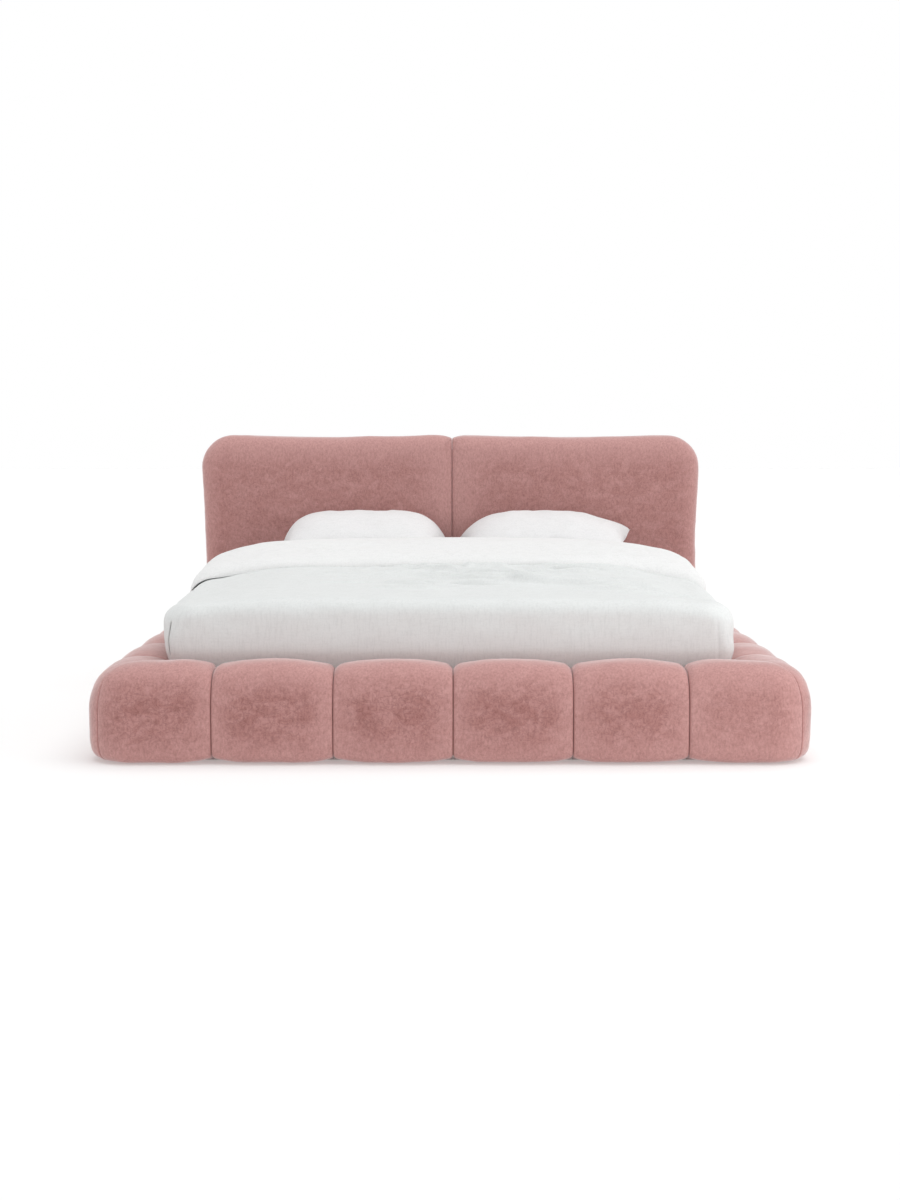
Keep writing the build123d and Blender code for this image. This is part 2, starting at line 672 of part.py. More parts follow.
def duvet():
    """Duvet tucked in at the foot and sides, its head end turned back in a thick strip."""
    inside_x = MATTRESS_W / 2 + BEDDING_GAP
    outside_x = inside_x + DUVET_FLAP_T
    inside_y = mattress_y - BEDDING_GAP
    outside_y = inside_y - DUVET_FLAP_T
    inside_z = mattress_top + BEDDING_GAP
    fold_y = [mattress_y + y for y in DUVET_FOLD]
    profile = [(outside_y, DUVET_HEM_Z), (outside_y, DUVET_TOP[0]), (fold_y[0], DUVET_TOP[1])]
    profile += [(fold_y[1], DUVET_TOP[1]), (fold_y[1], DUVET_HEM_Z)]
    with BuildPart() as cover:
        with BuildSketch(Plane.YZ):
            Polygon(*profile, align=None)
        extrude(amount=outside_x, both=True)
        fillet(cover.edges().filter_by(Axis.Z).group_by(Axis.Y)[0], DUVET_CORNER_R)
        sloping_top = cover.faces().sort_by(Axis.Z)[-2:].sort_by(Axis.Y)[0]
        fillet([e for e in sloping_top.edges() if (e @ 0.5).Y < fold_y[0] - FIT], DUVET_EDGE_R)
        with BuildSketch(Plane.XZ.offset(-fold_y[0])):
            height = DUVET_FOLD_Z[1] - DUVET_FOLD_Z[0]
            with Locations((0, sum(DUVET_FOLD_Z) / 2)):
                Rectangle(2 * DUVET_FOLD_HALF_W, height)
            corners = vertices().group_by(Axis.Y)
            fillet(corners[0], DUVET_EDGE_R)
            fillet(vertices().group_by(Axis.Y)[-1], DUVET_FOLD_R)
        extrude(amount=-(fold_y[1] - fold_y[0]))
        hollow_y = (inside_y, fold_y[1] + PAST)
        hollow_z = (DUVET_HEM_Z - PAST, inside_z)
        block((-inside_x, inside_x), hollow_y, hollow_z, mode=Mode.SUBTRACT)
    save(cover, "duvet")


def pillow(centre_x, label):
    """Pillow that lies on the mattress and leans a little on the headboard."""
    wide, deep, thick = PILLOW
    tilt = radians(PILLOW_TILT)
    edge_r = thick / 2 - PILLOW_SEAM_HALF
    half_run = deep / 2 - edge_r
    centre_y = head_y - 2 * BEDDING_GAP - thick / 2 - half_run * cos(tilt)
    centre_z = mattress_top + sheet_out + BEDDING_GAP + thick / 2 + half_run * sin(tilt)
    middle = (centre_x, centre_y, centre_z)
    lie = Plane(origin=middle, x_dir=(1, 0, 0), z_dir=(0, -sin(tilt), cos(tilt)))
    through = Axis((0, 0, 0), lie.z_dir)
    with BuildPart(lie) as cushion:
        Box(wide, deep, thick)
        fillet(cushion.edges().filter_by(through), PILLOW_CORNER_R)
        fillet(cushion.faces().sort_by(through)[-1].edges(), edge_r)
        fillet(cushion.faces().sort_by(through)[0].edges(), edge_r)
    save(cushion, f"pillow_{label}")


ring = puff_ring()
foot_puffs(ring)
side_puffs(ring, -1, "left")
side_puffs(ring, 1, "right")

foot_boards()
side_boards(-1, "left")
side_boards(1, "right")
head_rail()
rail_ribs()
corner_brackets()
bolts(bracket_bolts(), BOLT_REACH, "corner_bolts")
bolts(head_bolts(), HEAD_BOLT_REACH, "headboard_bolts")
glides()

for side, label in ((-1, "left"), (1, "right")):
    ledger(side, label)
    slats(side, label)
    slat_caps(side, label)
ledger_screws()
centre_beam()
beam_hangers()
centre_legs()

headboard_frame()
headboard_cushion(-1, "left")
headboard_cushion(1, "right")

mattress()
fitted_sheet()
duvet()
pillow(PILLOW_X[0], "left")
pillow(PILLOW_X[1], "right")
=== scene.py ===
"""Upholstered bed: padded upholstery, bedding and finishes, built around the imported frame.

Metres. X runs across the bed, Y from the foot to the headboard, Z up, as in the frame.
"""

import json
import math

import bmesh
import bpy
import numpy as np
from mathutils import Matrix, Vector
from mathutils.bvhtree import BVHTree


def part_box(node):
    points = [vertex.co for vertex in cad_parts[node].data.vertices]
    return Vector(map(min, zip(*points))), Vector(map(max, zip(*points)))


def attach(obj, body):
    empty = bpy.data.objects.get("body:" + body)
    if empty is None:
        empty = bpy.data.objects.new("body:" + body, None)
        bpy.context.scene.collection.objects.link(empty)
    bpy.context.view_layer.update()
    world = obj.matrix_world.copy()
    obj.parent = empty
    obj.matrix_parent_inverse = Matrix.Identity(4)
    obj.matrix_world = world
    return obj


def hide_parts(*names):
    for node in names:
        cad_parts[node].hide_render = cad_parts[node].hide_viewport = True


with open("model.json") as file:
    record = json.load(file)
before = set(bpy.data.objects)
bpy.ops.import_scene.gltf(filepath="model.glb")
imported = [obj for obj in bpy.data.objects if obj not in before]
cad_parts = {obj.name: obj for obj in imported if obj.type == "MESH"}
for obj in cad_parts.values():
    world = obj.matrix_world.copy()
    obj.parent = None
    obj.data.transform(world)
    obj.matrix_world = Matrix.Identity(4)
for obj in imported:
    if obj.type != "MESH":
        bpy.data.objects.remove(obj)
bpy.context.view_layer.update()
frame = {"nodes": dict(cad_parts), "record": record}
scene = bpy.context.scene

# -------- places, read from the frame
side_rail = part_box("left_puff_2")
foot_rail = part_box("foot_puff_2")
INNER_X = -side_rail[1].x
RAIL_T = side_rail[1].x - side_rail[0].x
RAIL_TOP = side_rail[1].z
RAIL_BOTTOM = side_rail[0].z
FOOT_INNER_Y = foot_rail[1].y
FOOT_Y = foot_rail[0].y
# the pocket that the rail covers leave for the timber, with a little room
POCKET_T = -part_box("left_outer_board")[0].x - INNER_X + 0.002
POCKET_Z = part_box("left_inner_board")[1].z + 0.004
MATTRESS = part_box("mattress")
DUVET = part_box("duvet")
HEAD_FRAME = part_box("headboard_back_panel")
HEAD_RAIL_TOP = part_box("head_rail_cap")[1].z
RING_END_Y = side_rail[1].y + 4 * (side_rail[1].y - side_rail[0].y)  # four more puffs behind the second
ON_FACE = 1e-9  # a grid point nearer than this to a face lies on it
TOUCH = 1e-6  # the same, where whole faces are picked
RIPPLE_WAVES = 24


# -------- mesh helpers
def mesh_object(name, points, faces):
    """A smooth-shaded object from vertices and faces, its normals pointing out."""
    mesh = bpy.data.meshes.new(name)
    mesh.from_pydata(np.asarray(points).tolist(), [], faces)
    work = bmesh.new()
    work.from_mesh(mesh)
    bmesh.ops.recalc_face_normals(work, faces=work.faces)
    work.to_mesh(mesh)
    work.free()
    mesh.polygons.foreach_set("use_smooth", [True] * len(mesh.polygons))
    obj = bpy.data.objects.new(name, mesh)
    scene.collection.objects.link(obj)
    return obj


def vectors(items, name):
    """One vector property of a mesh's items, as an array."""
    flat = np.empty(len(items) * 3)
    items.foreach_get(name, flat)
    return flat.reshape(-1, 3)


def points_of(obj):
    """Vertex positions as an array."""
    return vectors(obj.data.vertices, "co")


def set_points(obj, points):
    """Writes vertex positions back."""
    obj.data.vertices.foreach_set("co", np.asarray(points).ravel())
    obj.data.update()


def swell(obj, amount):
    """Moves each vertex out along its normal by its own amount."""
    normals = vectors(obj.data.vertex_normals, "vector")
    set_points(obj, points_of(obj) + normals * np.asarray(amount)[:, None])


def ripple(points, wavelength, seed):
    """Smooth random relief, about -1 to 1, as a sum of plane waves in random directions."""
    rng = np.random.default_rng(seed)
    total = np.zeros(len(points))
    for _ in range(RIPPLE_WAVES):
        direction = rng.normal(size=3)
        direction /= np.linalg.norm(direction)
        turns = points @ direction / (wavelength * rng.uniform(0.6, 1.6))
        total += np.cos(2 * math.pi * (turns + rng.uniform()))
    return total * math.sqrt(2 / RIPPLE_WAVES) / 2


def smooth_step(value, low, high):
    """0 below low, 1 above high, and smooth in between."""
    x = np.clip((value - low) / (high - low), 0, 1)
    return x * x * (3 - 2 * x)


def ticks(length, edge, fine, coarse):
    """Grid coordinates along one side of a slab, closer together within edge of both ends."""
    near = np.linspace(0, edge, max(2, round(edge / fine) + 1))
    middle = np.linspace(edge, length - edge, max(2, round((length - 2 * edge) / coarse) + 1))
    return np.concatenate([near[:-1], middle, (length - near)[::-1][1:]])


def merged(lines, extra):
    """Grid coordinates with extra ones let in, in place of any that lie too near to them."""
    lines, extra = np.asarray(lines), np.asarray(extra)
    clear = np.abs(lines[:, None] - extra).min(axis=1) > 0.001
    return np.sort(np.concatenate([lines[clear], extra]))


def box_skin(xs, ys, zs, filled=None):
    """Vertices and quads of the surface round the filled cells of a grid, or round the whole grid."""
    if filled is None:
        filled = np.ones((len(xs) - 1, len(ys) - 1, len(zs) - 1), dtype=bool)
    ringed = np.pad(filled, 1).astype(int)
    index, points, faces = {}, [], []

    def vertex(key):
        if key not in index:
            index[key] = len(points)
            points.append((xs[key[0]], ys[key[1]], zs[key[2]]))
        return index[key]

    for axis in range(3):
        u, v = [k for k in range(3) if k != axis]
        for cell in np.argwhere(np.diff(ringed, axis=axis)).tolist():
            corners = []
            for du, dv in ((0, 0), (1, 0), (1, 1), (0, 1)):
                key = [0, 0, 0]
                key[axis], key[u], key[v] = cell[axis], cell[u] - 1 + du, cell[v] - 1 + dv
                corners.append(vertex(tuple(key)))
            faces.append(corners)
    return np.array(points), faces


def slab_skin(size, *spacing):
    """Skin of a whole slab, with the three values that ticks wants for each of its sides."""
    return box_skin(*(ticks(length, *steps) for length, steps in zip(size, spacing)))


def round_slab(points, size, corners, edges, power=2.0):
    """Rounds a box skin that lies in [0, size], with sides A, B and C.

    corners: plan radii at (0, 0), (A, 0), (A, B) and (0, B), each a number or a value for each vertex.
    edges: for the low and the high face, the radii of its edges along a = 0, a = A, b = 0 and b = B.
    power: 2 gives round edges, more gives fuller ones.
    """
    a, b, c = points.T.copy()
    wide, deep, thick = size
    inset = np.minimum.reduce([a, wide - a, b, deep - b])
    side = np.argmin([a, wide - a, b, deep - b], axis=0)
    out_a = np.choose(side, [-1.0, 1.0, 0.0, 0.0])
    out_b = np.choose(side, [0.0, 0.0, -1.0, 1.0])
    for (sa, sb), radius in zip(((-1, -1), (1, -1), (1, 1), (-1, 1)), corners):
        if np.all(np.asarray(radius) <= 0):
            continue
        mid_a = radius if sa < 0 else wide - radius
        mid_b = radius if sb < 0 else deep - radius
        da, db = (a - mid_a) * sa, (b - mid_b) * sb
        inside = (da > 0) & (db > 0)
        reach = np.hypot(da, db)
        divisor = np.where(reach > 0, reach, 1)
        scale = np.where(inside, np.maximum(da, db) / divisor, 1)
        a = np.where(inside, mid_a + sa * da * scale, a)
        b = np.where(inside, mid_b + sb * db * scale, b)
        inset = np.where(inside, radius - reach * scale, inset)
        out_a = np.where(inside, sa * da / divisor, out_a)
        out_b = np.where(inside, sb * db / divisor, out_b)
    inset = np.maximum(inset, 0)
    shape = 2 / power
    new_c = c.copy()
    shift = np.zeros_like(a)
    for face, radii in enumerate(edges):
        low_a, high_a, low_b, high_b = radii
        radius = np.where(out_a < 0, low_a, high_a) * out_a**2 + np.where(out_b < 0, low_b, high_b) * out_b**2
        radius = np.maximum(radius, 1e-5)
        depth = c if face == 0 else thick - c
        on_face = (depth < ON_FACE) & (inset < radius)
        on_side = (inset < ON_FACE) & (depth < radius) & ~(depth < ON_FACE)
        turn = np.where(on_face, math.pi / 4 * (1 - inset / radius), math.pi / 2)
        turn = np.where(on_side, math.pi / 4 * (1 + depth / radius), turn)
        turn = np.clip(turn, 0, math.pi / 2)
        new_inset = radius * (1 - np.sin(turn) ** shape)
        new_depth = radius * (1 - np.cos(turn) ** shape)
        moved = on_face | on_side
        shift = np.where(moved, new_inset - inset, shift)
        new_c = np.where(moved, new_depth if face == 0 else thick - new_depth, new_c)
    return np.stack([a - out_a * shift, b - out_b * shift, new_c], axis=1)


def set_layer(obj, name, amount):
    """Stores a value for each vertex, for the materials to read."""
    layer = obj.data.attributes.new(name, "FLOAT", "POINT")
    layer.data.foreach_set("value", np.asarray(amount, dtype=np.float32))


def apply_modifiers(obj):
    """Bakes an object's modifiers into its mesh."""
    graph = bpy.context.evaluated_depsgraph_get()
    mesh = bpy.data.meshes.new_from_object(obj.evaluated_get(graph))
    obj.modifiers.clear()
    old, obj.data = obj.data, mesh
    bpy.data.meshes.remove(old)


def relax(obj, factor):
    """Evens out a mesh by moving each vertex part of the way to its neighbours' average."""
    step = obj.modifiers.new("relax", "SMOOTH")
    step.factor = factor
    apply_modifiers(obj)


def thicken(obj, thickness):
    """Gives an open sheet its thickness, inwards."""
    step = obj.modifiers.new("thickness", "SOLIDIFY")
    step.thickness = thickness
    step.offset = -1
    apply_modifiers(obj)


def drop_loose(obj):
    """Removes vertices that no face uses."""
    work = bmesh.new()
    work.from_mesh(obj.data)
    bmesh.ops.delete(work, geom=[v for v in work.verts if not v.link_faces], context="VERTS")
    work.to_mesh(obj.data)
    work.free()


def dress(piece, finish, body, node):
    """Gives a padded piece its finish, parents it to its body and hides the CAD node it stands for."""
    piece.data.materials.append(finish)
    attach(piece, body)
    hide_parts(node)


CLOTH_FRAMES = 16
CLOTH_PRESSURE = 2.0
CLOTH_STIFFNESS = 15.0
CLOTH_GROWTH = 0.03  # share by which the cloth is larger than the shape it starts from
CLOTH_CAP = 0.014  # no point moves further than this


def inflate(obj):
    """Cloth simulation of a closed cover under inside pressure, with no gravity."""
    start = points_of(obj)
    step = obj.modifiers.new("cloth", "CLOTH")
    cloth = step.settings
    cloth.quality = 6
    cloth.mass = 0.3
    cloth.tension_stiffness = cloth.compression_stiffness = CLOTH_STIFFNESS
    cloth.shear_stiffness = CLOTH_STIFFNESS / 2
    cloth.bending_stiffness = 0.5
    cloth.use_pressure = True
    cloth.uniform_pressure_force = CLOTH_PRESSURE
    cloth.effector_weights.gravity = 0
    cloth.shrink_min = -CLOTH_GROWTH
    step.collision_settings.use_collision = False
    step.point_cache.frame_start = 1
    step.point_cache.frame_end = CLOTH_FRAMES
    for number in range(1, CLOTH_FRAMES + 1):
        scene.frame_set(number)
    graph = bpy.context.evaluated_depsgraph_get()
    moved = points_of(obj.evaluated_get(graph))
    scene.frame_set(1)
    obj.modifiers.clear()
    offset = moved - start
    size = np.linalg.norm(offset, axis=1)
    limit = CLOTH_CAP * np.tanh(size / CLOTH_CAP)
    set_points(obj, start + offset * (limit / np.maximum(size, 1e-9))[:, None])


# -------- materials
class Shader:
    """A material being built, with short calls for the nodes used here."""

    def __init__(self, name, colour, roughness, **sockets):
        self.material = bpy.data.materials.new(name)
        self.material.use_nodes = True
        self.material.diffuse_color = (*colour, 1)
        self.tree = self.material.node_tree
        self.surface = self.tree.nodes["Principled BSDF"]
        self.surface.inputs["Base Color"].default_value = (*colour, 1)
        self.surface.inputs["Roughness"].default_value = roughness
        for socket, value in sockets.items():
            self.surface.inputs[socket.replace("_", " ")].default_value = value
        self.coords = self.node("ShaderNodeTexCoord").outputs["Object"]

    def node(self, kind, values=(), **settings):
        """A new node with some of its settings, and some of its sockets' values."""
        made = self.tree.nodes.new(kind)
        for key, value in settings.items():
            setattr(made, key, value)
        for key, value in dict(values).items():
            made.inputs[key].default_value = value
        return made

    def link(self, output, target):
        self.tree.links.new(output, target)

    def layer(self, name):
        """The value that set_layer stored under a name."""
        return self.node("ShaderNodeAttribute", attribute_name=name).outputs["Fac"]

    def noise(self, scale, detail=3.0, roughness=0.5, stretch=(1, 1, 1), distortion=0.0):
        """A noise value, around 0.5, in object coordinates scaled by stretch."""
        values = {"Scale": scale, "Detail": detail, "Roughness": roughness, "Distortion": distortion}
        made = self.node("ShaderNodeTexNoise", values)
        mapping = self.node("ShaderNodeMapping", {"Scale": stretch})
        self.link(self.coords, mapping.inputs["Vector"])
        self.link(mapping.outputs["Vector"], made.inputs["Vector"])
        return made.outputs["Fac"]

    def ramp(self, value, stops):
        """A colour ramp: stops are (position, colour)."""
        made = self.node("ShaderNodeValToRGB")
        line = made.color_ramp.elements
        while len(line) < len(stops):
            line.new(0.5)
        for stop, (place, colour) in zip(line, stops):
            stop.position = place
            stop.color = (*colour, 1)
        self.link(value, made.inputs["Fac"])
        return made.outputs["Color"]

    def mix(self, kind, factor, first, second):
        """Two colours mixed by blend mode kind; the factor may be a number or an output."""
        made = self.node("ShaderNodeMix", data_type="RGBA", blend_type=kind)
        for target, value in (("Factor", factor), ("A", first), ("B", second)):
            socket = next(k for k in made.inputs if k.name == target and k.enabled)
            if isinstance(value, bpy.types.NodeSocket):
                self.link(value, socket)
            else:
                socket.default_value = value if target == "Factor" else (*value, 1)
        return next(k for k in made.outputs if k.enabled)

    def mathed(self, operation, first, others):
        """A function of a value and one output, or of a value and one or two numbers."""
        made = self.node("ShaderNodeMath", operation=operation)
        self.link(first, made.inputs[0])
        if isinstance(others, tuple):
            for place, number in enumerate(others, 1):
                made.inputs[place].default_value = number
        else:
            self.link(others, made.inputs[1])
        return made.outputs["Value"]

    def bump(self, height, strength, distance, before=None):
        """A bump layer; before is a lower layer's normal."""
        made = self.node("ShaderNodeBump", {"Strength": strength, "Distance": distance})
        self.link(height, made.inputs["Height"])
        if before is not None:
            self.link(before, made.inputs["Normal"])
        return made.outputs["Normal"]

    def finish(self, colour, normal=None, roughness=None):
        """Links what was made to the surface and gives the material."""
        for socket, output in (("Base Color", colour), ("Normal", normal), ("Roughness", roughness)):
            if output is not None:
                self.link(output, self.surface.inputs[socket])
        return self.material


# pale velvet: the light patches of the mottling, and painted sheen where edges, tops and bottoms are lighter
VELVET_PALE_AND_SHEEN = (0.585, 0.322, 0.304)
VELVET_DARK = (0.385, 0.176, 0.161)
# painted shade in the seam valleys
VELVET_SEAM_SHADE = (0.40, 0.185, 0.17)
SLIT_SHADOW = (0.16, 0.15, 0.14)
FLOOR_TONE = 0.70
FLOOR_GLOW = 0.28  # weak emission, which keeps the ground as white as the photo's


def velvet():
    """Dusty pink velvet. Where its vertex layer is high the nap lies the other way: darker and crackled.
    Where the layer is low, on edges, tops, bottoms and beside seams, the pale tone is painted sheen.
    """
    made = Shader("velvet", (0.48, 0.24, 0.22), 0.8, Sheen_Weight=0.9, Sheen_Roughness=0.36,
                  Sheen_Tint=(1.0, 0.94, 0.94, 1), Specular_IOR_Level=0.12)
    nap_and_sheen = made.layer("nap_and_sheen")
    clouds = made.noise(15, detail=9, roughness=0.70, stretch=(1, 1, 1.5), distortion=0.5)
    crackle = made.noise(34, detail=7, roughness=0.62, stretch=(1, 1, 1.35), distortion=0.9)
    streaks = made.noise(150, detail=4, roughness=0.7, stretch=(1, 1, 0.45))
    nap = made.noise(620, detail=3, roughness=0.75)
    limits = {"From Min": 0.36, "From Max": 0.60}
    patches = made.node("ShaderNodeMapRange", limits, interpolation_type="SMOOTHSTEP")
    made.link(clouds, patches.inputs["Value"])
    dark_share = made.mathed("MULTIPLY_ADD", patches.outputs["Result"], (0.45, 0.50))
    # painted sheen: a low layer value gives the pale tone, lighter as if lit at a grazing angle
    tone = made.mix("MIX", made.mathed("MULTIPLY", nap_and_sheen, dark_share), VELVET_PALE_AND_SHEEN, VELVET_DARK)
    off_vein = made.mathed("ABSOLUTE", made.mathed("SUBTRACT", crackle, (0.5,)), ())
    veins = made.ramp(off_vein, [(0.0, (0.72, 0.68, 0.68)), (0.030, (1, 1, 1)), (0.10, (1.03, 1.04, 1.04))])
    veined = made.mix("MULTIPLY", made.mathed("MULTIPLY_ADD", nap_and_sheen, (0.80, 0.10)), tone, veins)
    fine = made.ramp(streaks, [(0.34, (0.84, 0.82, 0.82)), (0.50, (1, 1, 1)), (0.66, (1.10, 1.13, 1.13))])
    grain = made.ramp(nap, [(0.34, (0.86, 0.84, 0.84)), (0.50, (1, 1, 1)), (0.68, (1.08, 1.10, 1.10))])
    # painted shade along the seams, from the seam layer
    shaded = made.mix("MIX", made.layer("seam"), made.mix("MULTIPLY", 0.9, veined, fine), VELVET_SEAM_SHADE)
    colour = made.mix("MULTIPLY", 1.0, shaded, grain)
    rough = made.mathed("MULTIPLY_ADD", clouds, (0.25, 0.68))
    relief = made.bump(crackle, 0.14, 0.003)
    return made.finish(colour, made.bump(nap, 0.30, 0.0010, relief), rough)


def cotton(name, colour):
    """White woven cotton: slubs both ways, light flecks, and painted shadow in any sewn slit and along a sewn
    seam.
    """
    made = Shader(name, colour, 0.92, Sheen_Weight=0.10, Sheen_Roughness=0.5, Specular_IOR_Level=0.15)
    warp = made.noise(16, detail=6, roughness=0.7, stretch=(9, 9, 1.3), distortion=0.25)
    weft = made.noise(16, detail=6, roughness=0.7, stretch=(1.6, 1.6, 9), distortion=0.25)
    flecks = made.noise(170, detail=3, roughness=0.7)
    threads = made.noise(700, detail=2, roughness=0.6)
    dark = tuple(0.935 * v for v in colour)
    tone = made.ramp(warp, [(0.34, dark), (0.52, colour), (0.8, colour)])
    cross = made.ramp(weft, [(0.34, (0.965, 0.965, 0.962)), (0.52, (1, 1, 1)), (0.8, (1, 1, 1))])
    light = made.ramp(flecks, [(0.30, (0.97, 0.97, 0.97)), (0.50, (1, 1, 1)), (0.70, (1.025, 1.025, 1.02))])
    woven_tone = made.mix("MULTIPLY", 1.0, made.mix("MULTIPLY", 1.0, tone, cross), light)
    shaded = made.mix("MIX", made.layer("seam"), woven_tone, SLIT_SHADOW)
    lower = made.bump(warp, 0.16, 0.0012)
    return made.finish(shaded, made.bump(threads, 0.35, 0.0006, lower))


def woven(name, colour):
    """Plain coarse cloth: the headboard's back cover and the mattress ticking."""
    made = Shader(name, colour, 0.95, Sheen_Weight=0.1)
    threads = made.noise(260, detail=2, stretch=(1, 1, 2.5))
    dark = tuple(0.78 * v for v in colour)
    return made.finish(made.ramp(threads, [(0.3, dark), (0.6, colour)]), made.bump(threads, 0.4, 0.0008))


def timber(name, light, dark, along, scale=6.0):
    """Bare or lacquered wood with grain along one axis."""
    made = Shader(name, light, 0.62)
    grain = made.noise(scale, detail=6, roughness=0.62, stretch=along, distortion=0.9)
    pores = made.noise(scale * 14, detail=2, stretch=along)
    tone = made.ramp(grain, [(0.30, dark), (0.50, light), (0.72, tuple(min(1, 1.12 * v) for v in light))])
    fine = made.ramp(pores, [(0.35, (0.86, 0.84, 0.82)), (0.55, (1, 1, 1))])
    return made.finish(made.mix("MULTIPLY", 1.0, tone, fine), made.bump(pores, 0.2, 0.0006))


def smooth_finish(name, colour, roughness, metallic, mottle, peel):
    """Coated or plated steel, or moulded nylon: its colour drifts a little, under a fine relief."""
    made = Shader(name, colour, roughness, Metallic=metallic)
    texture = made.noise(peel[0], detail=2)
    tone = made.ramp(made.noise(*mottle[:2]), [(0.3, tuple(mottle[2] * v for v in colour)), (0.7, colour)])
    return made.finish(tone, made.bump(texture, *peel[1:]))


def floor_finish():
    """Pale studio floor."""
    made = Shader("pale_floor", (FLOOR_TONE,) * 3, 0.9, Emission_Strength=FLOOR_GLOW)
    tones = [(0.3, (0.695, 0.695, 0.695)), (0.7, (0.705, 0.705, 0.705))]
    return made.finish(made.ramp(made.noise(0.6, detail=2), tones))


# -------- padded rails
CROWN_T = 0.105  # distance of a puff's crown from the rail's inner face
CROWN_Z = {"foot": RAIL_TOP - 0.009, "left": RAIL_TOP - 0.018, "right": RAIL_TOP - 0.014}
CORNER_DROP = 0.009  # the crown runs lower towards a mitre
BULGE_Z = 0.150  # height where a puff reaches furthest out
OUTER_T = RAIL_T + 0.005
SOLE_Z = RAIL_BOTTOM - 0.005
PINCH = {  # how deep a seam pulls the cover in: the gentle part and its power, the tight part and its reach
    "out": (0.014, 2.2, 0.004, 0.009),
    "top": (0.021, 2.2, 0.013, 0.026),
    "bottom": (0.015, 3.6, 0.006, 0.012),
    "in": (0.003, 2.0, 0.008, 0.012),
}
GENTLE_REACH = 0.190
CREASE_W = 0.026  # reach of the widest tight part from the seam
MITRE_W = 0.006
MITRE_DEPTH = 0.005
ROW_STEP = 0.012
FREE_END_R = 0.030  # rounding of the last puff in front of the headboard's skirt
FOOT_SEAM_SHIFT = {2: 0.003, 3: 0.009, 4: 0.010, 5: 0.011, 6: -0.002}  # sewn a little off their marks
CORNER_REACH = 0.170  # corner puff: seam to the ring's inner corner
CORNER_R = 0.150
CORNER_LENGTH = CORNER_REACH + OUTER_T - CORNER_R + CORNER_R * math.pi / 4  # along its rounded outside
SEAM_GAP = 0.0006
ON_FLOOR = 0.0005  # lowest height of a cover
RIGHT_LIT_DARK_SHARE = {"foot_puff_5": 0.90, "foot_puff_6": 0.50}  # share of the dark tone kept on the right-hand foot puffs: less, so they are painted lighter, as if lit from the right


def arc(centre, reach, power, start, end, count):
    """Points and normals of a superellipse stretch, angles in degrees."""
    turn = np.radians(np.linspace(start, end, count))
    way = np.stack([np.cos(turn), np.sin(turn)], axis=1)
    sign, size = np.sign(way), np.abs(way)
    normals = sign * size ** (2 - 2 / power) / reach
    return centre + reach * sign * size ** (2 / power), normals / np.linalg.norm(normals, axis=1)[:, None]


def rail_section(crown_z):
    """A rail's section, as (t, z) points with normals: over the top and down the outside, then the pocket.

    t runs out from the rail's inner face.
    """
    inside = arc((CROWN_T, POCKET_Z), (CROWN_T - 0.001, crown_z - POCKET_Z), 2.4, 180, 92, 16)
    upper = arc((CROWN_T, BULGE_Z), (OUTER_T - CROWN_T, crown_z - BULGE_Z), 2.35, 90, 1.5, 40)
    lower = arc((CROWN_T, BULGE_Z), (OUTER_T - CROWN_T, BULGE_Z - SOLE_Z), 5.6, 0, -88, 48)
    keep = lower[0][:, 0] > POCKET_T + 0.001
    bottom_z = lower[0][keep][-1, 1]
    wall = [(POCKET_T, z) for z in np.linspace(bottom_z, POCKET_Z, 8)]
    ceiling = [(t, POCKET_Z) for t in np.linspace(POCKET_T, 0.001, 7)[1:-1]]
    points = np.concatenate([inside[0], upper[0], lower[0][keep], wall, ceiling])
    hidden = np.zeros((len(wall) + len(ceiling), 2))
    normals = np.concatenate([inside[1], upper[1], lower[1][keep], hidden])
    return points, normals


def crease(distance, width):
    """Depth, 1 to 0, of a sewn crease at some distance from its seam: soft shoulders, an open valley."""
    return np.clip(1 - distance / width, 0, 1) ** 2.2


def pinch(normals, gentle, distance):
    """Offset (t, z) of section points for the gentle pull, 0 to 1, and the tight one at a distance."""
    t, z = normals.T
    depth = {
        side: wide * gentle**power + narrow * crease(distance, reach)
        for side, (wide, power, narrow, reach) in PINCH.items()
    }
    along_t = np.where(t > 0, depth["out"], depth["in"]) * t
    along_z = np.where(z > 0, depth["top"], depth["bottom"]) * z
    return -np.stack([along_t, along_z], axis=1)


def rows_from_seam(length, last_width):
    """Distances from the first seam at which a puff has a row of vertices, closer near both ends."""
    first = CREASE_W * (1 - np.cos(np.linspace(0, math.pi / 2, 8)))
    last = length - last_width * (1 - np.cos(np.linspace(0, math.pi / 2, 7)))[::-1]
    room = length - CREASE_W - last_width
    middle = np.linspace(CREASE_W, length - last_width, max(3, round(room / ROW_STEP)) + 1)[1:-1]
    return np.concatenate([first, middle, last])


def tube_faces(rows, ring):
    """Quads of a closed tube of rings, with both ends capped."""
    here = np.arange(rows * ring).reshape(rows, ring)
    beside = np.roll(here, -1, axis=1)
    quads = np.stack([here[:-1], beside[:-1], beside[1:], here[1:]], axis=2).reshape(-1, 4)
    return quads.tolist() + here[[0, -1]].tolist()


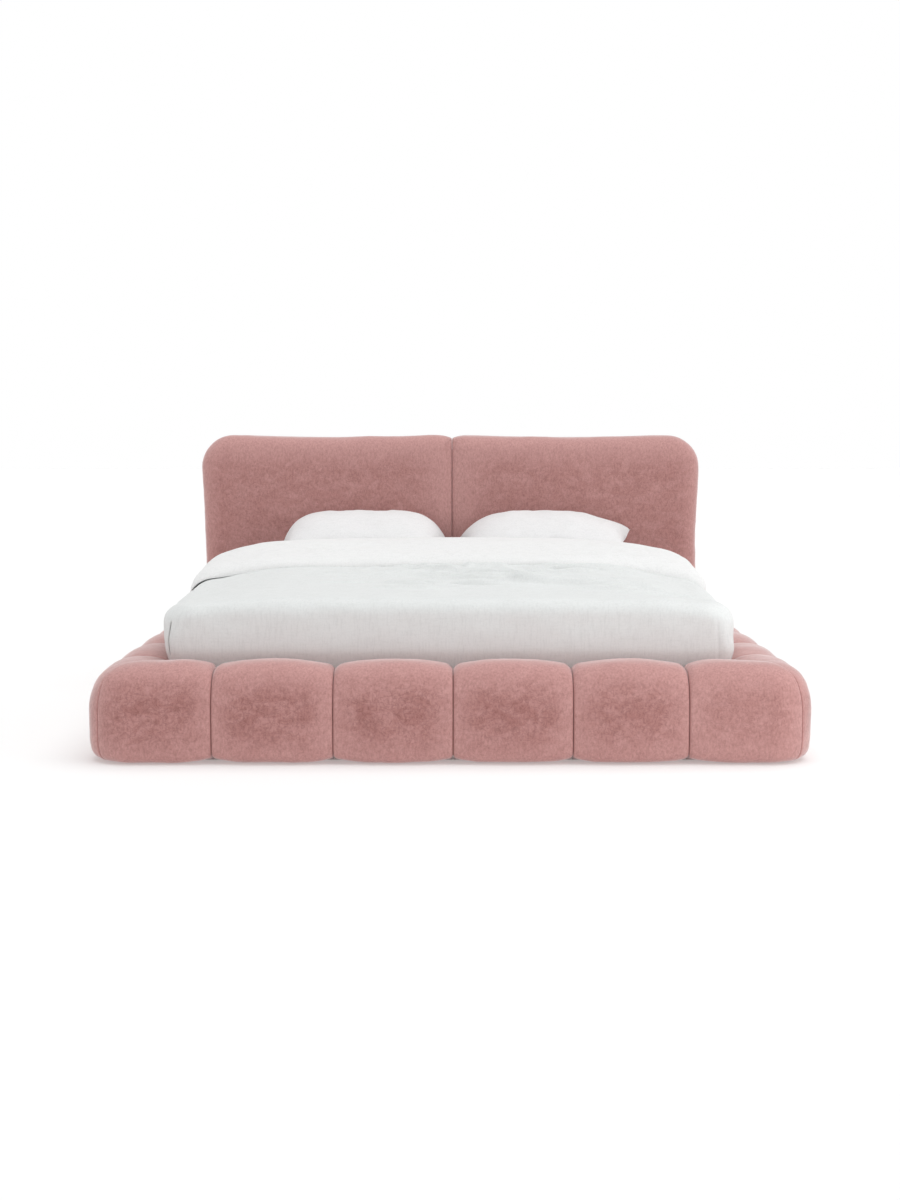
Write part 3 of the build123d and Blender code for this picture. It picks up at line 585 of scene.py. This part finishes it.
def puff_points(length, end, crown_z, end_rise=0.0):
    """A puff in rail coordinates (along, out, z), and each vertex's distance from its two ends.

    end is what its far end is: "seam", "mitre" at a corner, or "free" at the headboard.
    """
    section, normals = rail_section(crown_z)
    high = smooth_step(section[:, 1], POCKET_Z, crown_z)
    last_width = {"seam": CREASE_W, "mitre": MITRE_W, "free": FREE_END_R}[end]
    rows, ends = [], []
    for x in rows_from_seam(length, last_width):
        left = length - x
        nearest = min(x, left) if end == "seam" else x
        reach = length / 2 if end == "seam" else GENTLE_REACH
        gentle = np.clip(1 - nearest / reach, 0, 1)
        shape = section + pinch(normals, gentle, nearest)
        if end == "mitre":
            shape = shape - MITRE_DEPTH * crease(left, MITRE_W) * normals
            shape[:, 1] -= CORNER_DROP * high * (x / length) ** 2
        elif end == "free":
            shape = shape - FREE_END_R * crease(left, FREE_END_R) * normals
            shape[:, 1] += end_rise * high * smooth_step(x, 0.08, 0.25)
        t, z = shape.T
        along = np.full_like(t, x)
        if end == "mitre":
            radius = CORNER_R * np.clip(t / OUTER_T, 0, 1) ** 1.5
            straight = length - CORNER_LENGTH + CORNER_REACH + t - radius
            travel = x / length * (straight + radius * math.pi / 4)
            turn = np.clip((travel - straight) / np.maximum(radius, 1e-6), 0, math.pi / 4)
            along = np.minimum(travel, straight) + radius * np.sin(turn)
            t = t - radius + radius * np.cos(turn)
        rows.append(np.stack([along, t, z], axis=1))
        ends.append(np.tile([x, left], (len(t), 1)))
    return np.concatenate(rows), np.concatenate(ends), tube_faces(len(rows), len(section))


def to_rail(points, rail, start, direction):
    """Rail coordinates to the frame. direction is +1 or -1 along the rail."""
    along, out, z = points.T
    run = start + direction * along
    if rail == "foot":
        return np.stack([run, FOOT_INNER_Y - out, z], axis=1)
    side = -1 if rail == "left" else 1
    return np.stack([side * (INNER_X + out), run, z], axis=1)


def make_puff(rail, number, finish):
    """One puff of the ring, in the place of its CAD solid."""
    node = f"{rail}_puff_{number}"
    low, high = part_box(node)
    axis = 0 if rail == "foot" else 1
    start, end = low[axis] + SEAM_GAP / 2, high[axis] - SEAM_GAP / 2
    if rail == "foot":
        start += FOOT_SEAM_SHIFT.get(number, 0)
        end += FOOT_SEAM_SHIFT.get(number + 1, 0)
    backward = number == 1
    length, kind, rise = end - start, "seam", 0.0
    if backward or (rail == "foot" and number == 6):
        corner = INNER_X if rail == "foot" else -FOOT_INNER_Y
        length = CORNER_LENGTH - CORNER_REACH + corner - abs(end if backward else start)
        kind = "mitre"
    elif number == 6:
        kind, rise = "free", HEAD_RAIL_TOP - CROWN_Z[rail]
    points, ends, faces = puff_points(length, kind, CROWN_Z[rail], rise)
    placed = to_rail(points, rail, end if backward else start, -1 if backward else 1)
    piece = mesh_object(node + "_cover", placed, faces)
    seed = {"foot": 10, "left": 20, "right": 30}[rail] + number
    shown = points_of(piece)
    relief = 0.0016 * ripple(shown, 0.16, seed) + 0.0005 * ripple(shown, 0.045, seed + 100)
    _, out, z = points.T
    hidden = (out < POCKET_T + 0.002) & (z < POCKET_Z + 0.002)
    reach = ends.min(axis=1)
    swell(piece, np.where(hidden, 0, relief * smooth_step(reach, 0.0, 0.03)))
    set_points(piece, np.maximum(points_of(piece), (-np.inf, -np.inf, ON_FLOOR)))
    # painted sheen: the layer is kept low, so the velvet pale, on the top, the bottom, the inner side and
    # near the seams; it is high only on the middle of the outer face
    face = smooth_step(out, CROWN_T + 0.055, OUTER_T - 0.03)
    face = face * smooth_step(z, -0.01, 0.15) * (1 - smooth_step(z, 0.19, 0.32))
    # painted light: the right-hand foot puffs take a smaller dark share from the table above
    dark_share = RIGHT_LIT_DARK_SHARE.get(node, 1.0) * face * smooth_step(reach, -0.03, 0.11)
    set_layer(piece, "nap_and_sheen", 0.20 + 0.80 * dark_share)
    # painted shade: the seam layer darkens the velvet within a few millimetres of each seam, as shade in its
    # valley
    sewn = ends[:, 0] if kind == "free" else reach
    set_layer(piece, "seam", 1 - smooth_step(sewn, 0.0, 0.0035))
    dress(piece, finish, "root", node)


# -------- headboard
HEAD_CORNER = 0.140
HEAD_SEAM_CORNER = 0.004
HEAD_LOW_CORNER = 0.050
HEAD_LOW_EDGE = 0.035
HEAD_FRONT_EDGE = 0.078
HEAD_SEAM_EDGE = 0.004
HEAD_SEAM_X = 0.009  # the middle seam is sewn a little to the right
HEAD_BACK_EDGE = 0.035
HEAD_VALLEY = (0.085, 0.020)  # reach and depth of the broad valley along the seam
HEAD_NOTCH = (0.062, 0.013)  # the same where the seam meets the top
HEAD_LEFT_IN = 0.005  # the left cushion's outer side stands a little in
HEAD_CLEAR = 0.0015  # room round the timber frame
HEAD_GAP = (0.0006, 0.003)  # from the ring's end back to the cushion's pocket and to its skirt


def make_headboard_cushion(side, finish):
    """One headboard cushion, hollow for the timber frame, with a skirt down its post to the floor.

    a runs out from the middle seam, b up from the head rail and c back from the front face.
    """
    label = "left" if side < 0 else "right"
    node = f"headboard_cushion_{label}"
    low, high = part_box(node)
    bottom, seam_x = HEAD_RAIL_TOP + 0.001, HEAD_SEAM_X + side * 0.0004
    outer = high.x if side > 0 else low.x + HEAD_LEFT_IN
    wide, tall, thick = abs(outer - seam_x), high.z - bottom, high.y - low.y
    post_a = HEAD_FRAME[1].x + HEAD_CLEAR - side * seam_x
    post_b = HEAD_FRAME[1].z + HEAD_CLEAR - bottom
    post_c, skirt_c = (RING_END_Y + gap - low.y for gap in HEAD_GAP)
    lines_a = merged(ticks(wide, 0.10, 0.008, 0.020), [post_a])
    lines_b = merged(ticks(tall, 0.10, 0.008, 0.020), [post_b])
    lines_b = np.concatenate([np.linspace(low.z - bottom, 0, 17)[:-1], lines_b])
    lines_c = merged(ticks(thick, 0.06, 0.009, 0.015), [post_c, skirt_c])
    middles = [(lines[1:] + lines[:-1]) / 2 for lines in (lines_a, lines_b, lines_c)]
    mid_a, mid_b, mid_c = np.meshgrid(*middles, indexing="ij")
    pocket = (mid_a < post_a) & (mid_b < post_b) & (mid_c > post_c)
    skirt = (mid_a > post_a) & (mid_b < 0) & (mid_c > skirt_c)
    points, faces = box_skin(lines_a, lines_b, lines_c, ((mid_b > 0) & ~pocket) | skirt)
    a, b, c = points.T
    inside = (a < post_a + 0.0001) & (b < post_b + 0.0001) & (c > post_c - 0.0001)
    corners = [HEAD_SEAM_CORNER, HEAD_LOW_CORNER, HEAD_CORNER, HEAD_SEAM_CORNER]
    outer_edge = HEAD_LOW_EDGE + (HEAD_FRONT_EDGE - HEAD_LOW_EDGE) * smooth_step(b, 0.0, 0.15)
    edges = [(HEAD_SEAM_EDGE, outer_edge, HEAD_LOW_EDGE, HEAD_FRONT_EDGE),
             (HEAD_SEAM_EDGE, HEAD_BACK_EDGE, 0.01, HEAD_BACK_EDGE)]
    shapes = []
    for floor_b in (0.0, 0.2):  # with its lower edge rounded, and as if it ran on down
        held = np.stack([a, np.maximum(b, floor_b), c], axis=1)
        shaped = round_slab(held, (wide, tall, thick), corners, edges, power=2.25)
        shaped[:, 1] += b - held[:, 1]
        shapes.append(shaped)
    onward = smooth_step(c, skirt_c - 0.05, skirt_c)[:, None]
    a, b, c = (shapes[0] * (1 - onward) + shapes[1] * onward).T
    front = 1 - smooth_step(c, 0, thick * 0.6)
    valley = np.clip(1 - a / HEAD_VALLEY[0], 0, 1) ** 2.2 * HEAD_VALLEY[1]
    notch = np.clip(1 - a / HEAD_NOTCH[0], 0, 1) ** 2.0 * HEAD_NOTCH[1]
    across = np.clip((a - 0.10) / (wide - 0.30), 0, 1)
    dip = 0.008 * 4 * across * (1 - across)
    belly = smooth_step(a, 0.0, 0.30) * smooth_step(wide - a, 0.0, 0.25) * smooth_step(tall - b, 0.0, 0.25)
    waist = 0.010 * smooth_step(tall - b, 0.15, 0.5) * smooth_step(a, wide * 0.6, wide)
    sole = 0.010 * (1 - smooth_step(b, low.z - bottom, low.z - bottom + 0.025)) * (a > post_a + 0.02)
    shaped = np.stack([a - waist - sole, b - np.clip(b / tall, 0, 1) ** 4 * (notch + dip),
                       c + front * (valley - 0.012 * belly)], axis=1)
    beyond = np.maximum(points[:, 0] - post_a, points[:, 1] - post_b)
    before = smooth_step(post_c - points[:, 2], 0.0, 0.03)
    free = np.maximum(smooth_step(beyond, 0.0, 0.055), before)
    shaped = points + (shaped - points) * free[:, None]
    shaped[inside] = points[inside]
    a, b, c = shaped.T
    piece = mesh_object(node + "_cover", np.stack([seam_x + side * a, low.y + c, bottom + b], axis=1), faces)
    exact = points_of(piece)
    relax(piece, 0.3)
    shown = points_of(piece)
    shown[inside] = exact[inside]
    set_points(piece, shown)
    relief = 0.0030 * ripple(shown, 0.30, 41 + side) + 0.0009 * ripple(shown, 0.08, 51 + side)
    swell(piece, relief * (1 - smooth_step(c, 0.05, 0.12)) * smooth_step(a, 0, 0.04) * ~inside)
    # painted sheen: the layer is low, so the velvet pale, along the middle seam, the outer side, the top and
    # round the back
    nap_and_sheen = smooth_step(a, 0.0, 0.20) * smooth_step(wide - a, -0.03, 0.12) * smooth_step(tall - b, 0.04, 0.17)
    set_layer(piece, "nap_and_sheen", 0.05 + 0.61 * nap_and_sheen * (1 - smooth_step(c, 0.02, 0.06)))
    dress(piece, finish, "root", node)


# -------- bedding
SOFT_EDGE = 0.050  # rounding of the mattress and its sheet
PIPING = (0.0015, 0.006)  # height and half width of the cord round the mattress
MATTRESS_IN = 0.001  # how far the ticking lies inside its CAD solid
SHEET_THICK = 0.0012
DUVET_THICK = 0.018  # of the duvet body's cover


def make_mattress(finish):
    """Mattress block with a piped edge round its top and bottom panel."""
    low, high = MATTRESS
    size = tuple(high - low)
    points, faces = slab_skin(size, (0.08, 0.012, 0.05), (0.08, 0.012, 0.05), (0.05, 0.01, 0.03))
    shaped = round_slab(points, size, [0.07] * 4, [(SOFT_EDGE,) * 4] * 2)
    piece = mesh_object("mattress_block", shaped + np.array(low), faces)
    x, y, z = points_of(piece).T
    rise = np.minimum(z - low.z, high.z - z)
    side = np.maximum(np.abs(x) - high.x, np.abs(y - (low.y + high.y) / 2) - size[1] / 2)
    piping = PIPING[0] * np.exp(-((rise - SOFT_EDGE) / PIPING[1]) ** 2) * smooth_step(side, -0.03, -0.004)
    swell(piece, piping - MATTRESS_IN)
    dress(piece, finish, "mattress", "mattress")


def make_sheet(finish):
    """Fitted sheet stretched over the mattress, its hem gathered by elastic."""
    low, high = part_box("fitted_sheet")
    size = tuple(high - low)
    edge = SOFT_EDGE + 0.001
    points, faces = slab_skin(size, (0.09, 0.009, 0.025), (0.09, 0.009, 0.025), (0.04, 0.01, 0.015))
    shaped = round_slab(points, size, [0.072] * 4, [(0.0001,) * 4, (edge,) * 4])
    quads = np.array(faces)
    above = points[quads, 2].max(axis=1) > TOUCH
    piece = mesh_object("sheet_cloth", shaped + np.array(low), quads[above].tolist())
    drop_loose(piece)
    shown = points_of(piece)
    x, y, z = shown.T
    gather, around = np.exp(-(z - low.z) / 0.05), np.arctan2(y, x)
    swell(piece, 0.0006 * gather * np.cos(around * 260) + 0.0005 * ripple(shown, 0.12, 61))
    thicken(piece, SHEET_THICK)
    piece.data.materials.append(finish)
    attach(piece, "mattress")
    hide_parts("fitted_sheet")


# Duvet: places along the bed and heights, from its CAD solid
DUVET_FRONT = DUVET[0].y
DUVET_HEM = DUVET[0].z
FOLD_DEPTH = 0.51
FOLD_LENGTH = 2.45  # from hem to hem over the bed
FOLD_THICK = 0.10
FOLD_BACK = DUVET[1].y
FOLD_FRONT = FOLD_BACK - FOLD_DEPTH
FOLD_TOP = DUVET[1].z + 0.004
REST_Z = 0.40  # height where the sides bulge furthest over the rails
SLIT_GRID = [0.0015, 0.003, 0.005]  # closer grid lines beside the open slit in the front left corner
SLIT_Z = (0.325, 0.337, 0.425, 0.445)
CORNER_SEAM_IN = 0.042  # seam near the front right corner
TUCK_X = INNER_X - 0.003
DUVET_SHIFT = -0.005  # the duvet lies a little to the left
CREASE_STEP = 0.0055  # row spacing where the creases show
TOP_AT_FOOT = 0.516
TOP_AT_FOLD = 0.552


def duvet_half_width(y):
    """Half width of the duvet above the rails."""
    return 0.940 + 0.056 * (1 - np.exp(-np.maximum(y - DUVET_FRONT, 0) / 0.25))


def ridge(x, y, start, heading, length, width, height, bend):
    """One soft ridge that starts at a point, runs along a heading, bends a little and fades out."""
    forward = (x - start[0]) * math.cos(heading) + (y - start[1]) * math.sin(heading)
    across = -(x - start[0]) * math.sin(heading) + (y - start[1]) * math.cos(heading)
    across = across - bend * forward**2
    fade = smooth_step(forward, -0.02, 0.05) * (1 - smooth_step(forward, length * 0.35, length))
    grow = width * (1 + 0.8 * np.clip(forward / length, 0, 1))
    profile = np.exp(-((across / grow) ** 2)) - 0.55 * np.exp(-(((across - 1.7 * grow) / grow) ** 2))
    return height * fade * profile


def ridges(x, y, groups):
    """Sum of ridges. A group is how many, and a function that draws what ridge wants for one of them."""
    total = np.zeros_like(x)
    for count, draw in groups:
        for _ in range(count):
            total += ridge(x, y, *draw())
    return total


def duvet_relief(x, y):
    """Wrinkles of the top: a fan of soft ridges below the turned-back strip, and long cross creases."""
    rng = np.random.default_rng(7)
    normal, uniform = rng.normal, rng.uniform

    def fan():
        return ((normal(0.16, 0.22), FOLD_FRONT - 0.02), math.radians(normal(-75, 40)), uniform(0.2, 0.5),
                uniform(0.015, 0.022), uniform(0.003, 0.006), normal(0, 0.5))

    def cross():
        return ((uniform(-0.30, 0.50), uniform(-0.65, FOLD_FRONT - 0.03)), normal(-0.05, 0.10),
                uniform(0.3, 0.7), uniform(0.008, 0.013), uniform(0.009, 0.017), normal(0, 0.15))

    def on_left():
        return ((uniform(-0.85, -0.3), uniform(-0.6, FOLD_FRONT - 0.05)), normal(0.08, 0.15),
                uniform(0.2, 0.5), uniform(0.009, 0.015), uniform(0.003, 0.008), normal(0, 0.2))

    def to_right_corner():
        return ((uniform(0.40, 0.62), uniform(-0.85, -0.45)), normal(0.05, 0.12), uniform(0.35, 0.5),
                uniform(0.009, 0.015), uniform(0.007, 0.013), uniform(-1.2, -0.4))

    return ridges(x, y, [(26, fan), (34, cross), (12, on_left), (9, to_right_corner)])


def make_duvet_body(finish):
    """The duvet over the mattress: tucked in at the foot and the sides, domed across."""
    width, depth = 2 * TUCK_X, FOLD_BACK - 0.006 - DUVET_FRONT
    height = TOP_AT_FOOT - DUVET_HEM
    grid_x = merged(ticks(width, 0.16, 0.009, 0.014), SLIT_GRID)
    shown_depth = FOLD_FRONT + 0.04 - DUVET_FRONT
    edge, close = np.arange(0, 0.16, 0.009), np.arange(0.16, shown_depth, CREASE_STEP)
    hidden = ticks(depth - shown_depth, 0, 0.02, 0.02) + shown_depth
    grid_y = merged(np.concatenate([edge, close, hidden]), SLIT_GRID)
    points, faces = box_skin(grid_x, grid_y, ticks(height, 0.10, 0.009, 0.010))
    corner = 0.038 + 0.06 * smooth_step(points[:, 2], height - 0.16, height)
    edges = [(0.0001,) * 4, (0.085, 0.085, 0.058, 0.02)]
    shaped = round_slab(points, (width, depth, height), [corner, corner, 0, 0], edges, power=2.2)
    a, b, c = shaped.T
    x, y, z = a - width / 2, b + DUVET_FRONT, c + DUVET_HEM
    above = smooth_step(z, 0.295, 0.350)
    x = x * (1 + above * (duvet_half_width(y) / TUCK_X - 1))
    y = y - 0.010 * above * (1 - smooth_step(b, 0, 0.10))
    rise = smooth_step(y, DUVET_FRONT + 0.05, FOLD_FRONT + 0.05) * (TOP_AT_FOLD - TOP_AT_FOOT)
    sag = 0.020 + 0.034 * smooth_step(y, DUVET_FRONT, DUVET_FRONT + 0.45)
    sag = sag * smooth_step(np.abs(x), 0.58, 1.0)
    share = np.clip((z - 0.36) / (TOP_AT_FOOT - 0.36), 0, 1)
    z = z + share * (rise - sag)
    z = z + share**3 * duvet_relief(x, y)
    window = smooth_step(z, *SLIT_Z[:2]) * (1 - smooth_step(z, *SLIT_Z[2:]))
    slit = window * np.exp(-((np.maximum(points[:, 0], points[:, 1]) / 0.0032) ** 2))
    x, y = x + 0.008 * slit, y + 0.008 * slit
    from_seam = width - points[:, 0] - CORNER_SEAM_IN
    seam = smooth_step(z, 0.30, 0.33) * (1 - smooth_step(z, 0.42, 0.47)) * (points[:, 1] < ON_FACE)
    y = y + seam * 0.004 * np.exp(-((from_seam / 0.009) ** 2))
    seam = seam * (np.abs(from_seam) < 0.005)
    quads = np.array(faces)
    kept = (points[quads, 2].max(axis=1) > TOUCH) & (points[quads, 1].min(axis=1) < depth - TOUCH)
    piece = mesh_object("duvet_body", np.stack([x, y, z], axis=1), quads[kept].tolist())
    # painted shadow inside the slit, and a faint line of the same painted shadow along the seam near the
    # front right corner
    set_layer(piece, "seam", np.clip(slit + 0.12 * seam, 0, 1))
    drop_loose(piece)
    shown = points_of(piece)
    lift = smooth_step(shown[:, 2], 0.36, 0.45)
    swell(piece, lift * (0.0035 * ripple(shown, 0.33, 71) + 0.0014 * ripple(shown, 0.11, 72)))
    thicken(piece, DUVET_THICK)
    dress_duvet(piece, finish)
    return piece


def dress_duvet(piece, finish):
    """Shifts a piece of the duvet to where it lies, and finishes it."""
    shown = points_of(piece)
    shown[:, 0] += DUVET_SHIFT * smooth_step(shown[:, 2], 0.33, REST_Z)
    set_points(piece, shown)
    dress(piece, finish, "duvet", "duvet")


def across_path(half, top, power, fraction):
    """Point of the bowed section at a fraction 0 to 1 of the way from the left hem to the right one."""
    base = REST_Z + 0.012
    turn = math.pi * (fraction - 0.5)
    sin, cos = np.sin(turn), np.cos(turn)
    x = half * np.sign(sin) * np.abs(sin) ** (2 / power)
    z = base + (top - base) * np.abs(cos) ** (2 / power)
    return x, z


def make_duvet_fold(body, finish):
    """The duvet's head end, turned back over it as a thick soft strip that hangs over the sides."""
    size = length, depth, thick = FOLD_LENGTH, FOLD_DEPTH, FOLD_THICK
    points, faces = slab_skin(size, (0.12, 0.012, 0.014), (0.09, 0.009, 0.014), (0.03, 0.010, 0.012))
    edges = [(0.03, 0.03, 0.002, 0.049), (0.03, 0.03, 0.095, 0.049)]
    a, b, c = round_slab(points, size, [0.05] * 4, edges, power=2.1).T
    share, along, span = c / thick, b / depth, a / length
    hang = np.maximum(np.abs(span - 0.5) - 0.44, 0) / 0.06
    turn = np.clip((span - 0.5) / 0.88 + 0.5, 0, 1)
    top = FOLD_TOP - 0.050 * (1 - smooth_step(along, 0.0, 0.75))
    drop, tuck, y = 0.050 * hang, 0.012 * hang**2, FOLD_FRONT + b
    paths = [across_path(0.970, TOP_AT_FOLD, 3.0, turn), across_path(1.008, top, 4.0, turn)]
    inner, outer = (np.stack([x - np.sign(x) * tuck, y, z - drop], axis=1) for x, z in paths)
    tree = BVHTree.FromObject(body, bpy.context.evaluated_depsgraph_get())
    for i, place in enumerate(inner):
        if share[i] < 1:
            level = min(place[1], FOLD_BACK - 0.010)
            start = Vector((place[0] * 0.75, level, 0.30 + 0.25 * (place[2] - 0.30)))
            ray = Vector((place[0], level, place[2])) - start
            hit = tree.ray_cast(start + ray * 1.6, -ray, ray.length * 1.5)[0]
            if hit is not None:
                inner[i] = hit + ray.normalized() * 0.0015
                inner[i][1] = place[1]
    nose = 1 - smooth_step(along, 0.0, 0.12)
    lifted = 1 - smooth_step(inner[:, 0], -0.92, -0.76)
    inner[:, 2] += nose * (0.008 * lifted - 0.006)
    shaped = inner + (outer - inner) * share[:, None]
    x, y, z = shaped.T
    waves = 0.014 * np.sin(2.3 * x + 0.6) + 0.009 * np.sin(7.1 * x + 1.9)  # its front edge isn't straight
    y = y + waves * (1 - smooth_step(along, 0.0, 0.6))
    rng = np.random.default_rng(11)
    normal, uniform = rng.normal, rng.uniform

    def crumple():
        return ((uniform(-0.75, 0.75), FOLD_FRONT + uniform(0.05, 0.20)), normal(0, 0.12), uniform(0.2, 0.5),
                uniform(0.010, 0.02), uniform(0.002, 0.005), normal(0, 0.15))

    z = z + ridges(x, y, [(16, crumple)]) * share
    piece = mesh_object("duvet_fold", np.stack([x, y, z], axis=1), faces)
    relax(piece, 0.5)
    shown = points_of(piece)
    swell(piece, share * (0.003 * ripple(shown, 0.26, 81) + 0.0012 * ripple(shown, 0.09, 82)))
    dress_duvet(piece, finish)


PILLOW_TILT = math.radians(20)
PILLOW_SIZE = (0.745, 0.480, 0.159)
PILLOW_GRID = (64, 46, 2)
PILLOW_WAIST = (0.045, 0.060)  # share by which the ends, and the long sides, pull in halfway
PILLOW_HEM = 0.002  # half the thickness of the sewn edge
PILLOW_NUB = 0.020  # how far the right pillow's back corner pokes out
FLOPS = {  # left and right end: where it begins to sink, over what reach, how fast, and how far
    "left": ((0.0, 0.368, 6.0, 0.47), (0.0, 0.362, 6.0, 0.54)),
    "right": ((0.0, 0.368, 4.0, 0.42), (0.10, 0.26, 1.3, 0.20)),
}


def make_pillow(label, finish, seed):
    """A plump pillow on the sheet: its middle leans on the headboard, its ends flop down."""
    node = f"pillow_{label}"
    low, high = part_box(node)
    wide, deep, thick = PILLOW_SIZE
    points, faces = box_skin(*(np.linspace(-1, 1, count) for count in PILLOW_GRID))
    a, b, c = points.T
    pull_x = 1 - PILLOW_WAIST[0] * (1 - b**2)
    pull_y = 1 - PILLOW_WAIST[1] * (1 - a**2)
    crown = np.clip((1 - np.abs(a) ** 4.0) * (1 - np.abs(b) ** 2.6), 0, 1) ** 0.5
    height = crown * thick / 2 + PILLOW_HEM
    shaped = np.stack([a * pull_x * wide / 2, b * pull_y * deep / 2, c * height], axis=1)
    piece = mesh_object(f"pillow_{label}_cover", shaped, faces)
    shown = points_of(piece)
    swell(piece, 0.003 * ripple(shown, 0.16, seed) + 0.0012 * ripple(shown, 0.06, seed + 1))
    inflate(piece)
    x, y, z = points_of(piece).T
    cos, sin = math.cos(PILLOW_TILT), math.sin(PILLOW_TILT)
    y, z = y * cos - z * sin, y * sin + z * cos
    z = z - z.min()
    for side, (begin, reach, power, amount) in zip((-1, 1), FLOPS[label]):
        z = z * (1 - amount * np.clip((side * x - begin) / reach, 0, 1) ** power)
    if label == "right":
        x = x + PILLOW_NUB * smooth_step(x, 0.26, 0.37) * smooth_step(y, 0.08, 0.22)
    set_points(piece, np.stack([x + (low.x + high.x) / 2, y + high.y - y.max(), z + low.z], axis=1))
    dress(piece, finish, node, node)


# -------- the frame's own finishes
BLACK = (0.03, 0.03, 0.032)
STEEL = (30, 4, 0.85), (420, 0.15, 0.0004)  # mottle: scale, detail, shade; peel: scale, strength, depth
NYLON = (60, 3, 0.80), (900, 0.25, 0.0003)


def paint_frame(covering):
    """Gives each CAD node that stays in view its finish, by its material slot in the record."""
    finishes = {
        "velvet": covering,
        "backing_cloth": woven("backing_cloth", (0.33, 0.165, 0.15)),
        "beech": timber("beech", (0.66, 0.46, 0.27), (0.50, 0.32, 0.17), along=(1, 14, 14)),
        "pine": timber("pine", (0.72, 0.53, 0.32), (0.56, 0.36, 0.18), along=(3, 3, 14)),
        "plywood": timber("plywood", (0.66, 0.50, 0.33), (0.54, 0.38, 0.22), along=(2, 2, 9), scale=9),
        "black_steel": smooth_finish("black_steel", BLACK, 0.5, 0.0, *STEEL),
        "zinc_fasteners": smooth_finish("zinc_fasteners", (0.62, 0.62, 0.60), 0.35, 1.0, *STEEL),
        "black_plastic": smooth_finish("black_plastic", BLACK, 0.55, 0.0, *NYLON),
    }
    for entry in frame["record"]["subparts"]:
        if entry["material_slot"] in finishes:
            for place in frame["nodes"][entry["node"]].material_slots:
                place.material = finishes[entry["material_slot"]]


# -------- studio
FLOOR_REACH = 60.0
SKY_BAND = (0.25, 0.45)  # sine of the elevation where the white horizon band ends and the dome begins
SKY_DOME = 0.40
OVERHEAD_POWER = 1.84
OVERHEAD_SPREAD = 70  # degrees
OVERHEAD_TILT = (-3, 10, 0)
PANEL_PLACE = (2.7, FOOT_Y - 1.35, 0.95)
PANEL_AIM = (0.5, 0, 0.3)
PANEL_SIZE = 1.2
PANEL_POWER = 12


def put(name, data, location, rotation):
    """Puts a light or the camera in the scene."""
    holder = bpy.data.objects.new(name, data)
    holder.location = location
    holder.rotation_euler = rotation
    scene.collection.objects.link(holder)
    return holder


def make_studio():
    """Pale floor, a sky that is brightest at the horizon, and a wide soft light overhead."""
    corners = [(a * FLOOR_REACH, b * FLOOR_REACH, 0) for a, b in ((-1, -1), (1, -1), (1, 1), (-1, 1))]
    floor = mesh_object("floor", corners, [[0, 1, 2, 3]])
    floor.data.materials.append(floor_finish())
    world = bpy.data.worlds.new("studio")
    scene.world = world
    world.use_nodes = True
    tree = world.node_tree
    background = tree.nodes["Background"]
    kinds = ("ShaderNodeTexCoord", "ShaderNodeSeparateXYZ", "ShaderNodeValToRGB")
    heading, split, sky = (tree.nodes.new(kind) for kind in kinds)
    stops = sky.color_ramp.elements
    stops[0].position, stops[1].position = SKY_BAND
    stops[0].color = (1, 1, 1, 1)
    stops[1].color = (SKY_DOME, SKY_DOME, SKY_DOME, 1)
    tree.links.new(heading.outputs["Generated"], split.inputs["Vector"])
    tree.links.new(split.outputs["Z"], sky.inputs["Fac"])
    tree.links.new(sky.outputs["Color"], background.inputs["Color"])
    lamp = bpy.data.lights.new("overhead", "SUN")
    lamp.energy = OVERHEAD_POWER
    lamp.angle = math.radians(OVERHEAD_SPREAD)
    put("overhead", lamp, (0, 0, 0), [math.radians(v) for v in OVERHEAD_TILT])
    panel = bpy.data.lights.new("side_panel", "AREA")
    panel.shape, panel.size, panel.energy = "SQUARE", PANEL_SIZE, PANEL_POWER
    aim = Vector(PANEL_AIM) - Vector(PANEL_PLACE)
    stand = put("side_panel", panel, PANEL_PLACE, aim.to_track_quat("-Z", "Y").to_euler())
    stand.visible_camera = False
    scene.view_settings.view_transform = "Standard"


CAMERA_BACK = 5.85  # camera to the front of the foot rail
CAMERA_HEIGHT = 1.04
CAMERA_PITCH = 4.95  # degrees, down
LENS = 55.4


def make_camera():
    """Camera in front of the foot, a little above the mattress, looking slightly down."""
    lens = bpy.data.cameras.new("camera")
    lens.lens = LENS
    lens.sensor_width = 36
    location = (0, FOOT_Y - CAMERA_BACK, CAMERA_HEIGHT)
    scene.camera = put("camera", lens, location, (math.radians(90 - CAMERA_PITCH), 0, 0))


# -------- build
pink = velvet()
linen = cotton("white_cotton", (0.785, 0.802, 0.797))
for rail in ("foot", "left", "right"):
    for number in range(1, 7):
        make_puff(rail, number, pink)
make_headboard_cushion(-1, pink)
make_headboard_cushion(1, pink)
make_mattress(woven("ticking", (0.80, 0.79, 0.77)))
make_sheet(cotton("sheet_cotton", (0.83, 0.83, 0.83)))
# the turned-back strip is the same duvet cloth as the body: its copy is painted lighter and the body's
# darker, as if the strip were lit more
make_duvet_fold(make_duvet_body(linen), cotton("painted_lit_cotton", (0.865, 0.868, 0.866)))
pillow_cotton = cotton("pillow_cotton", (0.84, 0.84, 0.845))
make_pillow("left", pillow_cotton, 91)
make_pillow("right", pillow_cotton, 95)
paint_frame(pink)
make_studio()
make_camera()
